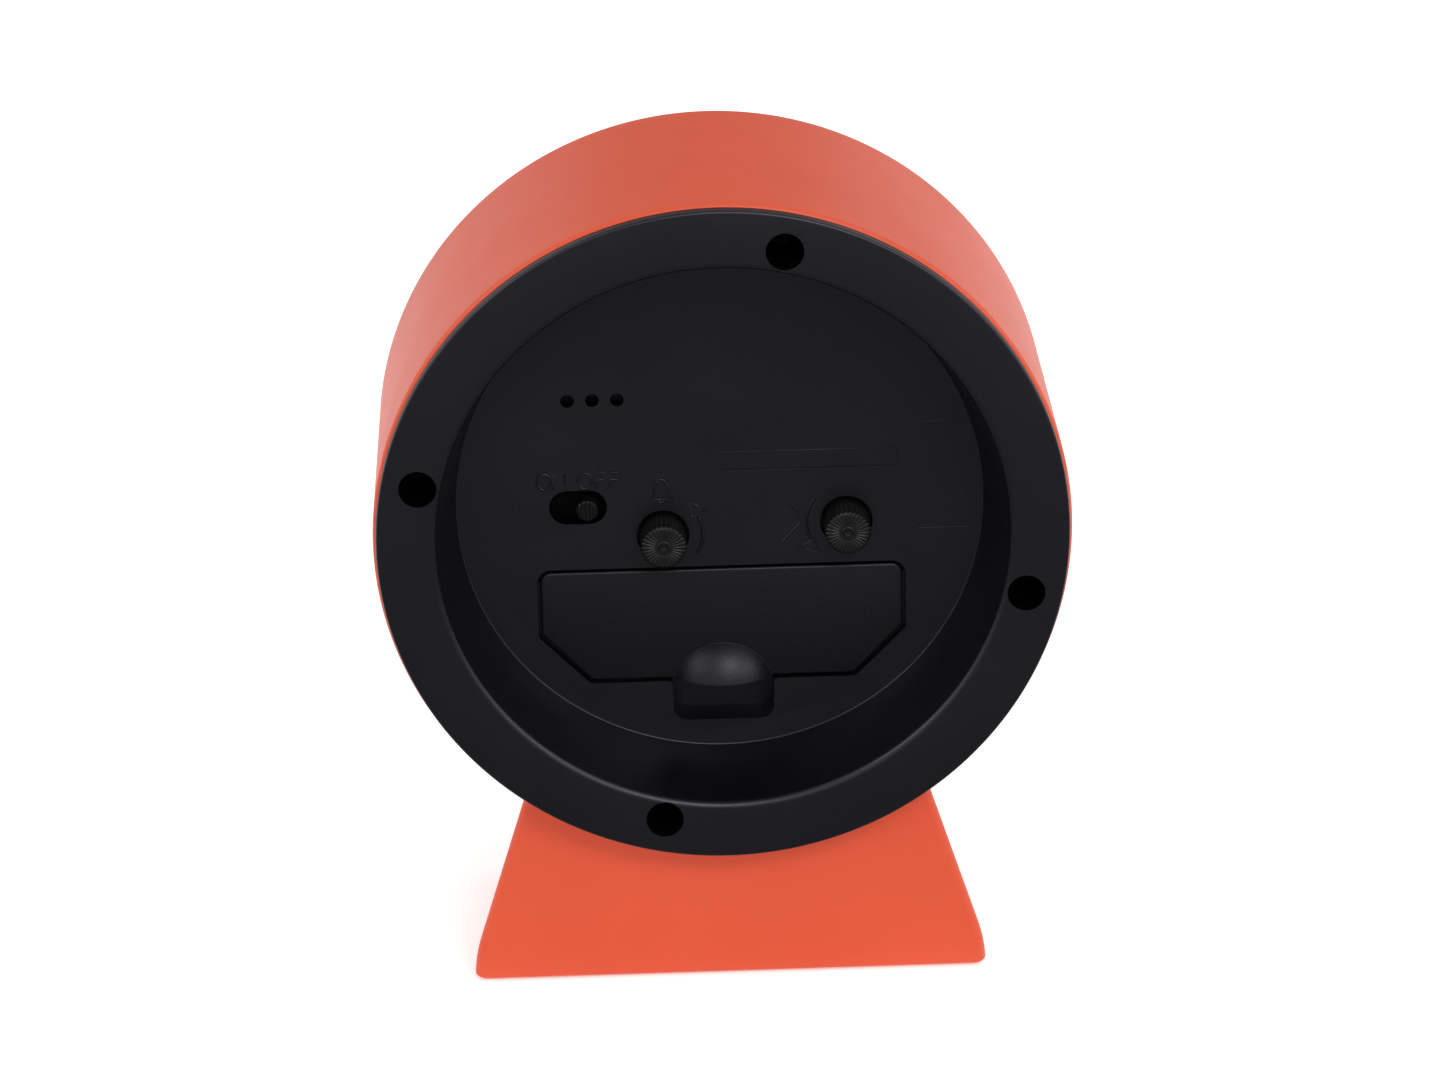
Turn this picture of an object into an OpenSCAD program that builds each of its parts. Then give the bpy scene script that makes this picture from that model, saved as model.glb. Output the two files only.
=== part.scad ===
/* Quartz alarm clock: a short drum on a flared foot, with a recessed rear cover.
   Rear-view axes are used throughout: u to the right as seen from behind, v up from the drum's axis,
   w towards the rear, with w = 0 on the rear face. rear_view() turns them into the part's own frame,
   where the dial faces -Y, +Z is up and the origin is under the middle of the foot. */

/* [Drum] */
// Outer diameter of the drum
drum_d = 116; // [114:1:150]
// Depth of the clock from the bezel to the rear face
drum_depth = 54; // [53:0.5:70]
// Wall of the drum
drum_wall = 2.2; // [1.6:0.1:2.7]
// Width of the flat bezel at the front
bezel_w = 12.6; // [12.4:0.1:15]
// Thickness of the bezel
bezel_t = 2.5; // [1.6:0.1:3]
// Radius on the bezel's outer edge
bezel_round = 1.6; // [0.5:0.1:2]
// Radius on the drum's rear edge
rear_edge_round = 0.8; // [0.2:0.1:1]

/* [Foot] */
// Width of the foot at its base
foot_w = 88.2; // [80:0.5:110]
// Depth of the foot at its base
foot_d = 44.8; // [36:0.2:52]
// Height of the drum's underside above the table
foot_rise = 24; // [18:0.5:32]
// Lean of the foot's sides, in degrees from upright
side_lean = 17.5; // [12:0.1:22]
// How much each side of the foot turns inwards towards the front, in degrees
side_turn = 8; // [0:0.5:9]
// Lean of the foot's front and rear faces, in degrees from upright
face_lean = 6.5; // [3:0.5:9]
// Radius that turns the sides upright at the base
side_flare = 25; // [20:1:40]
// Height at which the front and rear faces turn from upright to leaning
face_knee = 3.4; // [2:0.1:5]
// Wall of the foot
foot_wall = 2.4; // [1.8:0.1:3]
// Thickness of the base plate
base_plate_t = 2; // [1.5:0.1:3]
// How far the pad stands below the foot
pad_proud = 0.3; // [0.2:0.1:1]
// Half the distance between the screws that hold the drum
foot_screw_u = 12; // [8:0.5:18]

/* [Rear cover] */
// Thickness of the cover's rim, which stands behind the drum
cover_rim_t = 1.9; // [1.5:0.1:2.5]
// Width of the cover's flat rim
cover_rim_w = 10.05; // [9.8:0.05:10.4]
// Depth of the recess
recess_depth = 17.6; // [15:0.1:18]
// How much the recess narrows from its mouth to its floor, on the radius
recess_draft = 2.9; // [1:0.1:3]
// Thickness of the cover's walls
cover_wall = 2; // [1.6:0.1:2.2]
// Radius on the mouth of the recess
mouth_round = 1.2; // [0.5:0.1:1.5]
// Diameter of the screw wells
well_d = 6.3; // [5.8:0.1:6.6]
// Distance of the screw wells from the drum's edge
well_inset = 6.67; // [6.6:0.01:6.8]
// Depth of the screw wells
well_depth = 14; // [10:0.5:16]
// Angle of the first screw well from the u axis, in degrees
well_angle = 77.85; // [70:0.05:85]

/* [Battery bay] */
// Diameter of the AA cell
cell_d = 14.2; // [13.5:0.1:14.5]
// Length of the AA cell with its nub
cell_length = 50.5; // [49.5:0.1:50.5]
// Room at each end of the cell for its contact
contact_room = 3.25; // [3:0.05:4]
// Thickness of the battery door
door_t = 1.9; // [1.5:0.1:1.9]
// Gap around the door
door_gap = 0.55; // [0.4:0.05:0.7]
// Height of the door's upper edge, below the drum's axis
door_top = 11.93; // [11.8:0.01:12.2]
// Height of the door
door_h = 19.91; // [19:0.01:21]
// Length of the door's slanted lower corners, measured downwards
door_corner_h = 8.74; // [6:0.01:9]
// Half the width of the door's lower edge
door_low_half = 22.25; // [20:0.05:24]
// Distance of the hinge pins below the door's upper edge
pin_drop = 0.97; // [0.9:0.01:1]
// Diameter of the hinge pins
pin_d = 1.4; // [1.2:0.1:1.4]
// Width of the finger pocket
pocket_w = 17.2; // [12:0.1:20]
// Height of the finger pocket
pocket_h = 6.7; // [5.6:0.1:7]
// Depth of the finger pocket
pocket_depth = 6; // [5:0.1:8]

/* [Setting knobs and switch] */
// Diameter of the setting knobs
knob_d = 7.9; // [7:0.1:8.2]
// Gap between a knob and its hole
knob_gap = 0.5; // [0.3:0.05:0.6]
// How far the knobs stand out of the floor of the recess
knob_proud = 6; // [4:0.1:8]
// Notches round a knob
knob_notches = 24; // [16:2:30]
// Travel of the alarm switch
switch_travel = 3; // [2:0.1:3.4]
// Diameter of the switch's button
switch_button_d = 3.6; // [3:0.1:4]
// Length of the switch's slot
switch_slot_l = 9.75; // [9:0.05:11]
// Height of the switch's slot
switch_slot_h = 6.05; // [5:0.05:6.5]
// Diameter of the sound holes
sound_hole_d = 2.3; // [1.5:0.1:3]

/* [Gear train] */
// Teeth of the cannon pinion
cannon_teeth = 12; // [10:1:14]
// Teeth of the minute wheel
minute_teeth = 36; // [36:2:40]
// Module of the cannon pinion, minute wheel and time setting gear
motion_module = 0.4; // [0.38:0.01:0.4]
// Teeth of the minute wheel's pinion
minute_pinion_teeth = 10; // [10:1:12]
// Teeth of the hour wheel
hour_teeth = 40; // [38:2:40]
// Teeth of the time setting gear
time_set_teeth = 24; // [20:2:24]
// Teeth of the alarm wheel
alarm_teeth = 42; // [40:2:42]
// Teeth of the alarm setting gear
alarm_set_teeth = 14; // [12:1:14]
// Module of the alarm wheel and its setting gear
alarm_module = 0.4; // [0.38:0.01:0.4]
// Module of the rotor pinion, fifth wheel and seconds wheel
fast_module = 0.3; // [0.28:0.01:0.3]
// Module of the seconds pinion and third wheel
third_module = 0.25; // [0.24:0.01:0.25]
// Teeth of each pinion of the going train
pinion_teeth = 8; // [8:1:8]
// Teeth of the fifth wheel
fifth_teeth = 40; // [36:1:40]
// Teeth of the seconds wheel
seconds_teeth = 48; // [48:1:48]
// Teeth of the third wheel
third_teeth = 60; // [60:1:60]
// Teeth of the centre wheel
centre_teeth = 64; // [64:1:64]
// Amount by which each tooth is thinner than its space, at the pitch circle
backlash = 0.09; // [0.06:0.01:0.12]

/* [Dial and hands] */
// Thickness of the lens
lens_t = 1.5; // [1:0.1:2]
// Distance from the dial to the lens
dial_room = 6.1; // [6:0.1:8]
// Thickness of the dial
dial_t = 0.8; // [0.4:0.1:1]
// Length of the hour hand
hour_hand_l = 24; // [16:0.5:28]
// Length of the minute hand
minute_hand_l = 36; // [28:0.5:41]
// Length of the second hand
second_hand_l = 38; // [28:0.5:42]
// Length of the alarm hand
alarm_hand_l = 20; // [14:0.5:26]
// Thickness of the hands
hand_t = 0.4; // [0.3:0.1:0.5]

/* [Hidden] */
$fn = 96;
tiny = 0.01;
slip = 0.15;
running = 0.08;
pressed = 0.02;
reach = 400;

drum_r = drum_d / 2;
drum_bore = drum_r - drum_wall;
axis_h = foot_rise + drum_r;
saddle_screw_h = axis_h - sqrt(pow(drum_r + foot_wall, 2) - pow(foot_screw_u, 2)) - 3;
front = -drum_depth;
bezel_hole = drum_r - bezel_w;

// Rear cover
rim_r = drum_r - 0.55;
mouth_r = rim_r - cover_rim_w;
floor_r = mouth_r - recess_draft;
floor_w = -recess_depth;
floor_in = floor_w - cover_wall;
spigot_r = drum_bore - slip;
spigot_l = 5;
well_pcr = drum_r - well_inset;
well_wall = 0.75; // thin enough to stay inside the wall of the recess
well_floor_t = 2;
screw_r = 1.5;
screw_fit = 0.05;
screw_head_r = 2.7;
screw_head_t = 2.2;
screw_l = 10;
boss_r = 3.5;
boss_end = -well_depth - well_floor_t;

// Lens, dial and their well
seat_r = bezel_hole + 2;
seat_wall = 1.6;
lens_r = seat_r - slip;
lens_front = front + bezel_t;
dial_face = lens_front + lens_t + dial_room;
dial_back = dial_face + dial_t;
retainer_t = 2;
retainer_w = 4;
seat_end = dial_back + retainer_t;

// Movement; each gear's depth is that of its rear face
mov_wall = 1.4;
mov_rear = floor_in - 1.8;
mov_in = mov_rear - mov_wall;
mov_left = -14.6;
mov_right = 28.2;
mov_low = -10.8;
mov_high = 24;
mov_split = mov_in - 6.8;
gear_t = 1;
thick_gear_t = 1.2;
seconds_w = mov_in - 2;
third_w = seconds_w - gear_t - 0.8;
centre_w = third_w - gear_t - 0.8;
plate_w = centre_w - gear_t - 0.6;
plate_t = 1.2;
minute_w = plate_w - plate_t - 0.6;
hour_w = minute_w - thick_gear_t - 0.8;
alarm_w = hour_w - thick_gear_t - 1.4;
mov_front_in = alarm_w - thick_gear_t - 0.8;
mov_front = mov_front_in - 1.6;
nose_r = 5;
nose_end = dial_face - 0.3;

// Tubes that carry the hands, one inside the other
tube_wall = 0.82;
arbor_r = 0.7;
minute_bore = arbor_r + running;
minute_tube_r = minute_bore + tube_wall;
hour_bore = minute_tube_r + running;
hour_tube_r = hour_bore + tube_wall;
alarm_bore = hour_tube_r + running;
alarm_tube_r = alarm_bore + tube_wall;
nose_bore = alarm_tube_r + running;
pivot_r = 0.35;
pivot_seat = 0.9;

// Hands, from the dial towards the lens
hand_gap = 0.72;
alarm_hand_w = dial_face - 0.9 - hand_t;
hour_hand_w = alarm_hand_w - hand_gap - hand_t;
minute_hand_w = hour_hand_w - hand_gap - hand_t;
second_hand_w = minute_hand_w - hand_gap - hand_t;
// Directions seen from behind: ten past ten, with the alarm at eight
hour_hand_dir = 35;
minute_hand_dir = 150;
second_hand_dir = 90;
alarm_hand_dir = -30;

// Gear centres
fifth_reach = (pinion_teeth + seconds_teeth) * fast_module / 2;
fifth_dir = -20;
fifth_at = fifth_reach * [cos(fifth_dir), sin(fifth_dir)];
rotor_reach = (pinion_teeth + fifth_teeth) * fast_module / 2;
rotor_dir = 40;
rotor_at = fifth_at + rotor_reach * [cos(rotor_dir), sin(rotor_dir)];
third_reach = (pinion_teeth + third_teeth) * third_module / 2;
third_dir = 100;
third_at = third_reach * [cos(third_dir), sin(third_dir)];
centre_module = 2 * third_reach / (pinion_teeth + centre_teeth);
motion_reach = (cannon_teeth + minute_teeth) * motion_module / 2;
hour_module = 2 * motion_reach / (minute_pinion_teeth + hour_teeth);
time_dir = -10.4;
minute_at = motion_reach * [cos(time_dir), sin(time_dir)];
set_reach = motion_reach + (minute_teeth + time_set_teeth) * motion_module / 2;
time_at = set_reach * [cos(time_dir), sin(time_dir)];
alarm_reach = (alarm_teeth + alarm_set_teeth) * alarm_module / 2;
alarm_dir = 209.7;
alarm_at = alarm_reach * [cos(alarm_dir), sin(alarm_dir)];
set_shaft_r = 1.5;
knob_hole_r = knob_d / 2 + knob_gap;
knob_top = floor_w + knob_proud;
knob_l = 8.4;

// Coil and stator
coil_at = [14.2, 19.2];
coil_half = 8;
stator_w = seconds_w + 0.5;
stator_t = 0.8;
coil_w = stator_w - 1.5 * stator_t;
stator_ends = [[4, coil_at[1]], [24.4, coil_at[1]]];

// Battery bay
cell_at = [0, -21, floor_in - 1 - cell_d / 2];
bay_half = cell_length / 2 + contact_room;
bay_top = cell_at[1] + cell_d / 2 + 0.5;
bay_low = cell_at[1] - cell_d / 2 - 0.5;
bay_floor = cell_at[2] - cell_d / 2 - 0.3;
bay_wall = 1.3;
door_half = bay_half + 2.16;
door_low = -door_top - door_h;
pin_at = [door_half, -door_top - pin_drop, floor_w - door_t / 2];
ledge_t = 1.6;
dome_reach = 2.4;
dome_sink = 6.6;
dome_r = 10.87;
latch_half = 4;
pocket_top = door_low - door_gap - 0.6;

// Switch, board and buzzer
switch_at = [-23.9, -0.1];
slider_t = 1.1;
slider_l = switch_slot_l + switch_travel + 0.65;
button_at = switch_at + [switch_travel / 2, 0];
slider_h = switch_slot_h + 2.4;
slider_top = floor_in - slip;
board_w = floor_in - 4.4;
board_t = 1.2;
board_low = [-34, -9.6];
board_high = [-15.6, 28];
board_posts = [[-31, 10], [-18, -7.2], [-18.2, 9.6]];
sound_at = [[-25.2, 19], [-21.05, 19], [-16.9, 19]];
buzzer_r = 6.2;
buzzer_t = 3.2;

// Ears of the movement
ears = [[-9, mov_high + 2.2], [23, mov_high + 2.2], [mov_right + 2.2, -5.5]];
ear_r = 2.9;
ear_t = 2;
small_screw_r = 0.9;
small_head_r = 1.8;

// ---- Helpers ----

// Turns rear-view axes into the part's own frame
module rear_view() translate([0, drum_depth / 2, axis_h]) rotate([90, 0, 180]) children();

// A cylinder at [u, v] between two depths
module post(at, r, w0, w1) translate([at[0], at[1], min(w0, w1)]) cylinder(r = r, h = abs(w1 - w0));

// A block between two corners
module block(a, b) translate([min(a[0], b[0]), min(a[1], b[1]), min(a[2], b[2])])
  cube([abs(b[0] - a[0]), abs(b[1] - a[1]), abs(b[2] - a[2])]);

// A flat ring between two depths
module ring(r_out, r_in, w0, w1) difference() {
  post([0, 0], r_out, w0, w1);
  post([0, 0], r_in, min(w0, w1) - 1, max(w0, w1) + 1);
}

// What is cut from a square outer corner at the origin to round it; sx and sy point into the material
module corner_cut(r, sx, sy) difference() {
  translate([sx > 0 ? -1 : -r, sy > 0 ? -1 : -r]) square(r + 1);
  translate([sx * r, sy * r]) circle(r = r);
}

// A rectangle with round corners, centred
module round_rect(w, h, r) union() {
  square([w - 2 * r, h], center = true);
  square([w, h - 2 * r], center = true);
  for (i = [-1, 1], j = [-1, 1]) translate([i * (w / 2 - r), j * (h / 2 - r)]) circle(r = r, $fn = 48);
}

// A pan-head screw along w: the head lies on head_w and grows towards the rear if way is 1
module screw(at, r, head_r, head_t, head_w, length, way) difference() {
  union() {
    post(at, head_r, head_w, head_w + way * head_t);
    post(at, r, head_w, head_w - way * length);
  }
  for (a = [0, 90]) translate([at[0], at[1], head_w + way * head_t]) rotate([0, 0, a])
    cube([head_r * 1.3, head_r * 0.25, head_t], center = true);
}

// ---- Gears ----

function polar(r, a) = [r * cos(a), r * sin(a)];
function involute(base, r) = r <= base ? 0 : sqrt(r * r / (base * base) - 1) * 180 / PI - acos(base / r);
function half_tooth(n, m, r) = let (pitch = n * m / 2, base = pitch * cos(20))
  90 / n + involute(base, pitch) - involute(base, r) - backlash / 2 / pitch * 180 / PI;
function gear_outline(n, m, rise, fall) = let (pitch = n * m / 2)
  let (radii = [pitch - fall * m, pitch, pitch + rise * m])
  [for (i = [0 : n - 1], side = [-1, 1], k = [0 : 2])
    let (r = radii[side < 0 ? k : 2 - k]) polar(r, i * 360 / n + side * half_tooth(n, m, r))];

// A gear with a tooth centred on angle a, or a space if gap is true
module gear(n, m, t, rise, fall, a, gap) rotate([0, 0, a + (gap ? 180 / n : 0)])
  linear_extrude(t) polygon(gear_outline(n, m, rise, fall));
// Pinions drive wheels whose teeth are short, so that the few pinion teeth clear them
module pinion(n, m, t, a) gear(n, m, t, 0.75, 0.85, a, false);
module wheel(n, m, t, a) gear(n, m, t, 0.5, 1.05, a, true);

// ---- Case ----

module drum_case() color([0.78, 0.27, 0.16]) rear_view() difference() {
  union() {
    rotate_extrude($fn = 180) difference() {
      union() {
        translate([drum_bore, front]) square([drum_wall, drum_depth - cover_rim_t]);
        translate([bezel_hole, front]) square([bezel_w, bezel_t]);
        translate([seat_r, front]) square([seat_wall, seat_end - front]);
      }
      translate([drum_r, front]) corner_cut(bezel_round, -1, 1);
      translate([drum_r, -cover_rim_t]) corner_cut(rear_edge_round, -1, -1);
      translate([bezel_hole, front]) corner_cut(1, 1, 1);
    }
    intersection() {
      post([0, 0], drum_r - 1, boss_end, front + 1);
      for (i = [0 : 3]) rotate([0, 0, well_angle + 90 * i]) union() {
        post([well_pcr, 0], boss_r, boss_end, front + 1);
        block([well_pcr, -1.2, boss_end - 1], [drum_r - 1, 1.2, front + 1]);
      }
    }
    intersection() {
      post([0, 0], drum_r - 1, front, 0);
      for (i = [-1, 1]) translate([i * foot_screw_u, -drum_r, front / 2]) rotate([-90, 0, 0])
        cylinder(r = boss_r, h = 8);
    }
  }
  for (i = [0 : 3]) rotate([0, 0, well_angle + 90 * i])
    post([well_pcr, 0], screw_r + screw_fit, boss_end + 1, boss_end - screw_l - 2);
  for (i = [-1, 1]) translate([i * foot_screw_u, -drum_r, front / 2]) rotate([-90, 0, 0])
    cylinder(r = screw_r + screw_fit, h = 7);
}

module lens() color([0.9, 0.95, 0.97, 0.35]) rear_view()
  post([0, 0], lens_r, lens_front, lens_front + lens_t);

module dial_spacer_ring() color([0.93, 0.92, 0.88]) rear_view() rotate_extrude($fn = 180) polygon([
  [lens_r, lens_front + lens_t], [lens_r, dial_face], [bezel_hole - 1.4, dial_face],
  [bezel_hole, lens_front + lens_t]
]);

module dial() color([0.95, 0.94, 0.9]) rear_view() ring(lens_r, nose_r + 0.1, dial_face, dial_back);

module dial_retaining_ring() color([0.9, 0.9, 0.9]) rear_view()
  ring(lens_r, lens_r - retainer_w, dial_back, seat_end);

// ---- Foot ----

// One side of the foot, measured from its rear lower corner and drawn in by inset: a leaning flank
// over a flare that stands upright at the base
module foot_flank_outline(inset, height) {
  r = side_flare - inset;
  turn_x = r * cos(side_lean) - side_flare;
  turn_y = r * sin(side_lean);
  polygon([
    [-foot_w, turn_y], [turn_x, turn_y], [turn_x - (height - turn_y) * tan(side_lean), height],
    [-foot_w, height]
  ]);
  intersection() {
    translate([-side_flare, 0]) circle(r = r, $fn = 180);
    translate([-side_flare, 0]) square([side_flare, turn_y]);
  }
  translate([-foot_w, 0]) square([foot_w - side_flare, turn_y]);
}

// The flank runs forward from the rear corner, turned inwards
module foot_flank(inset, height)
  translate([foot_w / 2, foot_d / 2, 0]) rotate([0, 0, -side_turn]) rotate([90, 0, 0])
    linear_extrude(foot_d * 4, center = true) foot_flank_outline(inset, height);

// The foot's outline from the side: upright to the knee, then leaning inwards
module foot_side_outline(inset, height) {
  low = foot_d / 2 - inset;
  knee = face_knee - inset * tan(face_lean / 2);
  top = low - (height - knee) * tan(face_lean);
  polygon([[-low, 0], [low, 0], [low, knee], [top, height], [-top, height], [-low, knee]]);
}

module foot_body(inset) {
  height = foot_rise + drum_r * 0.45;
  intersection() {
    foot_flank(inset, height);
    mirror([1, 0, 0]) foot_flank(inset, height);
    rotate([90, 0, 90]) linear_extrude(foot_w + 4, center = true) foot_side_outline(inset, height);
  }
}

module drum_cylinder(r) translate([0, 0, axis_h]) rotate([90, 0, 0])
  cylinder(r = r, h = drum_depth + 20, center = true, $fn = 180);

module foot() color([0.84, 0.29, 0.17]) difference() {
  translate([0, 0, pad_proud]) foot_body(0);
  drum_cylinder(drum_r + 0.05);
  difference() {
    translate([0, 0, pad_proud - tiny]) foot_body(foot_wall);
    drum_cylinder(drum_r + foot_wall);
    for (i = [-1, 1]) translate([i * foot_screw_u, 0, saddle_screw_h]) cylinder(r = 4.2, h = 20);
    for (i = [-1, 1]) translate([i * foot_w * 0.24 - 0.9, -foot_d / 2, pad_proud + base_plate_t])
      cube([1.8, foot_d, 60]);
  }
  for (i = [-1, 1]) translate([i * foot_screw_u, 0, 0]) cylinder(r = screw_r + 0.2, h = axis_h);
}

module foot_base_plate() color([0.12, 0.12, 0.13]) difference() {
  intersection() {
    translate([0, 0, pad_proud]) foot_body(foot_wall + slip);
    translate([0, 0, pad_proud + base_plate_t / 2]) cube([foot_w, foot_d, base_plate_t], center = true);
  }
  translate([0, 0, -tiny]) linear_extrude(pad_proud + 0.7 + tiny) round_rect(foot_w - 24, foot_d - 14, 5);
}

module foot_pad() color([0.07, 0.07, 0.07])
  linear_extrude(pad_proud + 0.7) round_rect(foot_w - 24.3, foot_d - 14.3, 4.85);

module foot_screws() color([0.7, 0.7, 0.72]) for (i = [-1, 1])
  translate([i * foot_screw_u, 0, saddle_screw_h]) difference() {
    union() {
      translate([0, 0, -2]) cylinder(r = screw_head_r, h = 2);
      cylinder(r = screw_r, h = 9);
    }
    for (a = [0, 90]) translate([0, 0, -2]) rotate([0, 0, a]) cube([3.5, 0.7, 2.2], center = true);
  }

// ---- Rear cover ----

module door_outline(grow) {
  side = door_half + grow;
  low = door_low - grow;
  polygon([
    [-side, -door_top + grow], [-side, low + door_corner_h], [-door_low_half - grow, low],
    [door_low_half + grow, low], [side, low + door_corner_h], [side, -door_top + grow]
  ]);
}

module cover_shell() rotate_extrude($fn = 180) difference() {
  union() {
    polygon([
      [0, floor_w], [floor_r, floor_w], [mouth_r, -mouth_round], [mouth_r, 0], [rim_r, 0],
      [rim_r, -cover_rim_t], [mouth_r + cover_wall, -cover_rim_t], [floor_r + cover_wall, floor_in],
      [0, floor_in]
    ]);
    translate([spigot_r - 2, -cover_rim_t - spigot_l]) square([2, spigot_l + 1]);
  }
  translate([rim_r, 0]) corner_cut(0.5, -1, -1);
  translate([mouth_r, 0]) corner_cut(mouth_round, 1, -1);
}

module bay_walls() {
  block([-bay_half - bay_wall, bay_low - bay_wall, bay_floor - bay_wall],
    [bay_half + bay_wall, bay_top + bay_wall, floor_in + tiny]);
  translate([0, 0, floor_in - ledge_t]) linear_extrude(ledge_t + tiny) difference() {
    door_outline(door_gap + 1.4);
    translate([-reach / 2, -door_top + door_gap + 1]) square(reach);
  }
}

module pocket_shape(grow, w0, w1) translate([0, pocket_top - pocket_h / 2, w0]) linear_extrude(w1 - w0)
  round_rect(pocket_w + 2 * grow, pocket_h + 2 * grow, 2.4 + grow);

module rear_cover() color([0.1, 0.1, 0.11]) rear_view() difference() {
  union() {
    cover_shell();
    intersection() {
      post([0, 0], spigot_r, 0, boss_end);
      for (i = [0 : 3]) rotate([0, 0, well_angle + 90 * i])
        post([well_pcr, 0], well_d / 2 + well_wall, -cover_rim_t / 2, boss_end);
    }
    bay_walls();
    pocket_shape(1.4, floor_w - pocket_depth - 1.6, floor_in + tiny);
    for (at = ears) post(at, 2.4, floor_in + tiny, mov_rear);
    for (at = board_posts) post(at, 2, floor_in + tiny, board_w);
  }
  for (i = [0 : 3]) rotate([0, 0, well_angle + 90 * i]) union() {
    post([well_pcr, 0], well_d / 2, 1, -well_depth);
    post([well_pcr, 0], screw_r + 0.15, 1, boss_end - 1);
  }
  translate([0, 0, floor_in + tiny / 2]) linear_extrude(cover_wall + 1) door_outline(door_gap);
  block([-bay_half, bay_low, bay_floor], [bay_half, bay_top, floor_in - ledge_t]);
  translate([0, 0, floor_in - ledge_t - tiny]) linear_extrude(ledge_t + 1) intersection() {
    door_outline(-0.8);
    translate([-bay_half, bay_low]) square([2 * bay_half, bay_top - bay_low]);
  }
  block([-door_half + 0.4, bay_top - 1, floor_in - 1], [door_half - 0.4, -door_top + door_gap, floor_w]);
  for (i = [-1, 1]) translate([i * (door_half - 0.5), pin_at[1], pin_at[2]]) rotate([0, 90 * i, 0])
    cylinder(r = pin_d / 2 + running, h = 2.2, $fn = 48);
  for (i = [-1, 1]) block([i * (door_half - 0.4), pin_at[1] - 1.6, floor_in - 0.5],
    [i * (door_half + door_gap), -door_top + door_gap, floor_w]);
  block([-latch_half - 0.6, door_low + 0.3, floor_in - 2.4], [latch_half + 0.6, door_low + 2.6, floor_w]);
  pocket_shape(0, floor_w - pocket_depth, 1);
  for (at = [alarm_at, time_at]) post(at, knob_hole_r, floor_w + 1, floor_in - 1);
  for (at = sound_at) post(at, sound_hole_d / 2, floor_w + 1, floor_in - 1);
  translate([switch_at[0], switch_at[1], floor_in - 1]) linear_extrude(cover_wall + 2)
    round_rect(switch_slot_l, switch_slot_h, switch_slot_h / 2 - tiny);
  for (at = ears) post(at, small_screw_r + 0.03, mov_rear - 1, floor_in + 1);
  for (at = board_posts) post(at, small_screw_r + 0.03, board_w - 1, floor_in + 0.6);
}

module cover_screws() color([0.62, 0.62, 0.65]) rear_view() for (i = [0 : 3])
  rotate([0, 0, well_angle + 90 * i])
    screw([well_pcr, 0], screw_r, screw_head_r, screw_head_t, -well_depth, screw_l, 1);

// ---- Battery, door and contacts ----

module battery_door() color([0.1, 0.1, 0.11]) rear_view() union() {
  translate([0, 0, floor_w - door_t]) linear_extrude(door_t) door_outline(0);
  intersection() {
    translate([0, door_low - dome_reach, floor_w - dome_sink]) sphere(r = dome_r);
    block([-reach, door_low, floor_w - 1], [reach, reach, reach]);
  }
  for (i = [-1, 1]) translate([i * (door_half - 1), pin_at[1], pin_at[2]]) rotate([0, 90 * i, 0])
    cylinder(r = pin_d / 2, h = 2.2, $fn = 48);
  block([-latch_half, door_low + 0.8, floor_in - 1.9], [latch_half, door_low + 2, floor_w - 1]);
}

module battery() color([0.2, 0.36, 0.5]) rear_view() translate(cell_at) rotate([0, 90, 0]) union() {
  translate([0, 0, -cell_length / 2]) cylinder(r = cell_d / 2, h = cell_length - 1.3);
  translate([0, 0, cell_length / 2 - 1.4]) cylinder(r = 2.7, h = 1.4);
}

module positive_contact() color([0.75, 0.75, 0.72]) rear_view() {
  u = cell_length / 2 + 0.05;
  block([bay_half, cell_at[1] - 5, cell_at[2] - 5], [bay_half - 0.4, cell_at[1] + 5, cell_at[2] + 5]);
  block([bay_half - 0.4, cell_at[1] - 2.5, cell_at[2] + 1.6], [u, cell_at[1] + 2.5, cell_at[2] + 2]);
  block([u, cell_at[1] - 2.5, cell_at[2] - 2], [u + 0.4, cell_at[1] + 2.5, cell_at[2] + 2]);
}

module negative_contact() color([0.75, 0.75, 0.72]) rear_view() {
  u = -cell_length / 2 - 0.05;
  block([-bay_half, cell_at[1] - 5, cell_at[2] - 5], [-bay_half + 0.4, cell_at[1] + 5, cell_at[2] + 5]);
  for (k = [0 : 3]) translate([-bay_half + 0.4, cell_at[1], cell_at[2]]) rotate([0, 90, 0])
    translate([0, 0, k * 0.7]) difference() {
      cylinder(r = 4 - k * 0.6, h = min(0.7, u + bay_half - 0.4 - k * 0.7));
      translate([0, 0, -1]) cylinder(r = 4 - k * 0.6 - 1, h = 3);
    }
}

// ---- Movement ----

module mov_block(inset, w0, w1) block([mov_left + inset, mov_low + inset, w0],
  [mov_right - inset, mov_high - inset, w1]);

// A cup for a pivot, standing on the rear wall, and the bore of a pivot
module pivot_cup(at) post(at, pivot_r + running + 0.6, mov_in + tiny, stator_w + 0.6);
module pivot_bore(at, w0, w1) post(at, pivot_r + running, w0, w1);
// An arbor between the rear wall and the gear plate
module arbor(at) post(at, pivot_r, mov_in + pivot_seat - 0.1, plate_w - plate_t + 0.2);
// Puts a gear's rear face at a depth
module at_depth(at, w, t) translate([at[0], at[1], w - t]) children();

train_at = [[0, 0], fifth_at, third_at, rotor_at];
plate_posts = [[-9.5, 18], [17.5, 10.5]];

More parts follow.
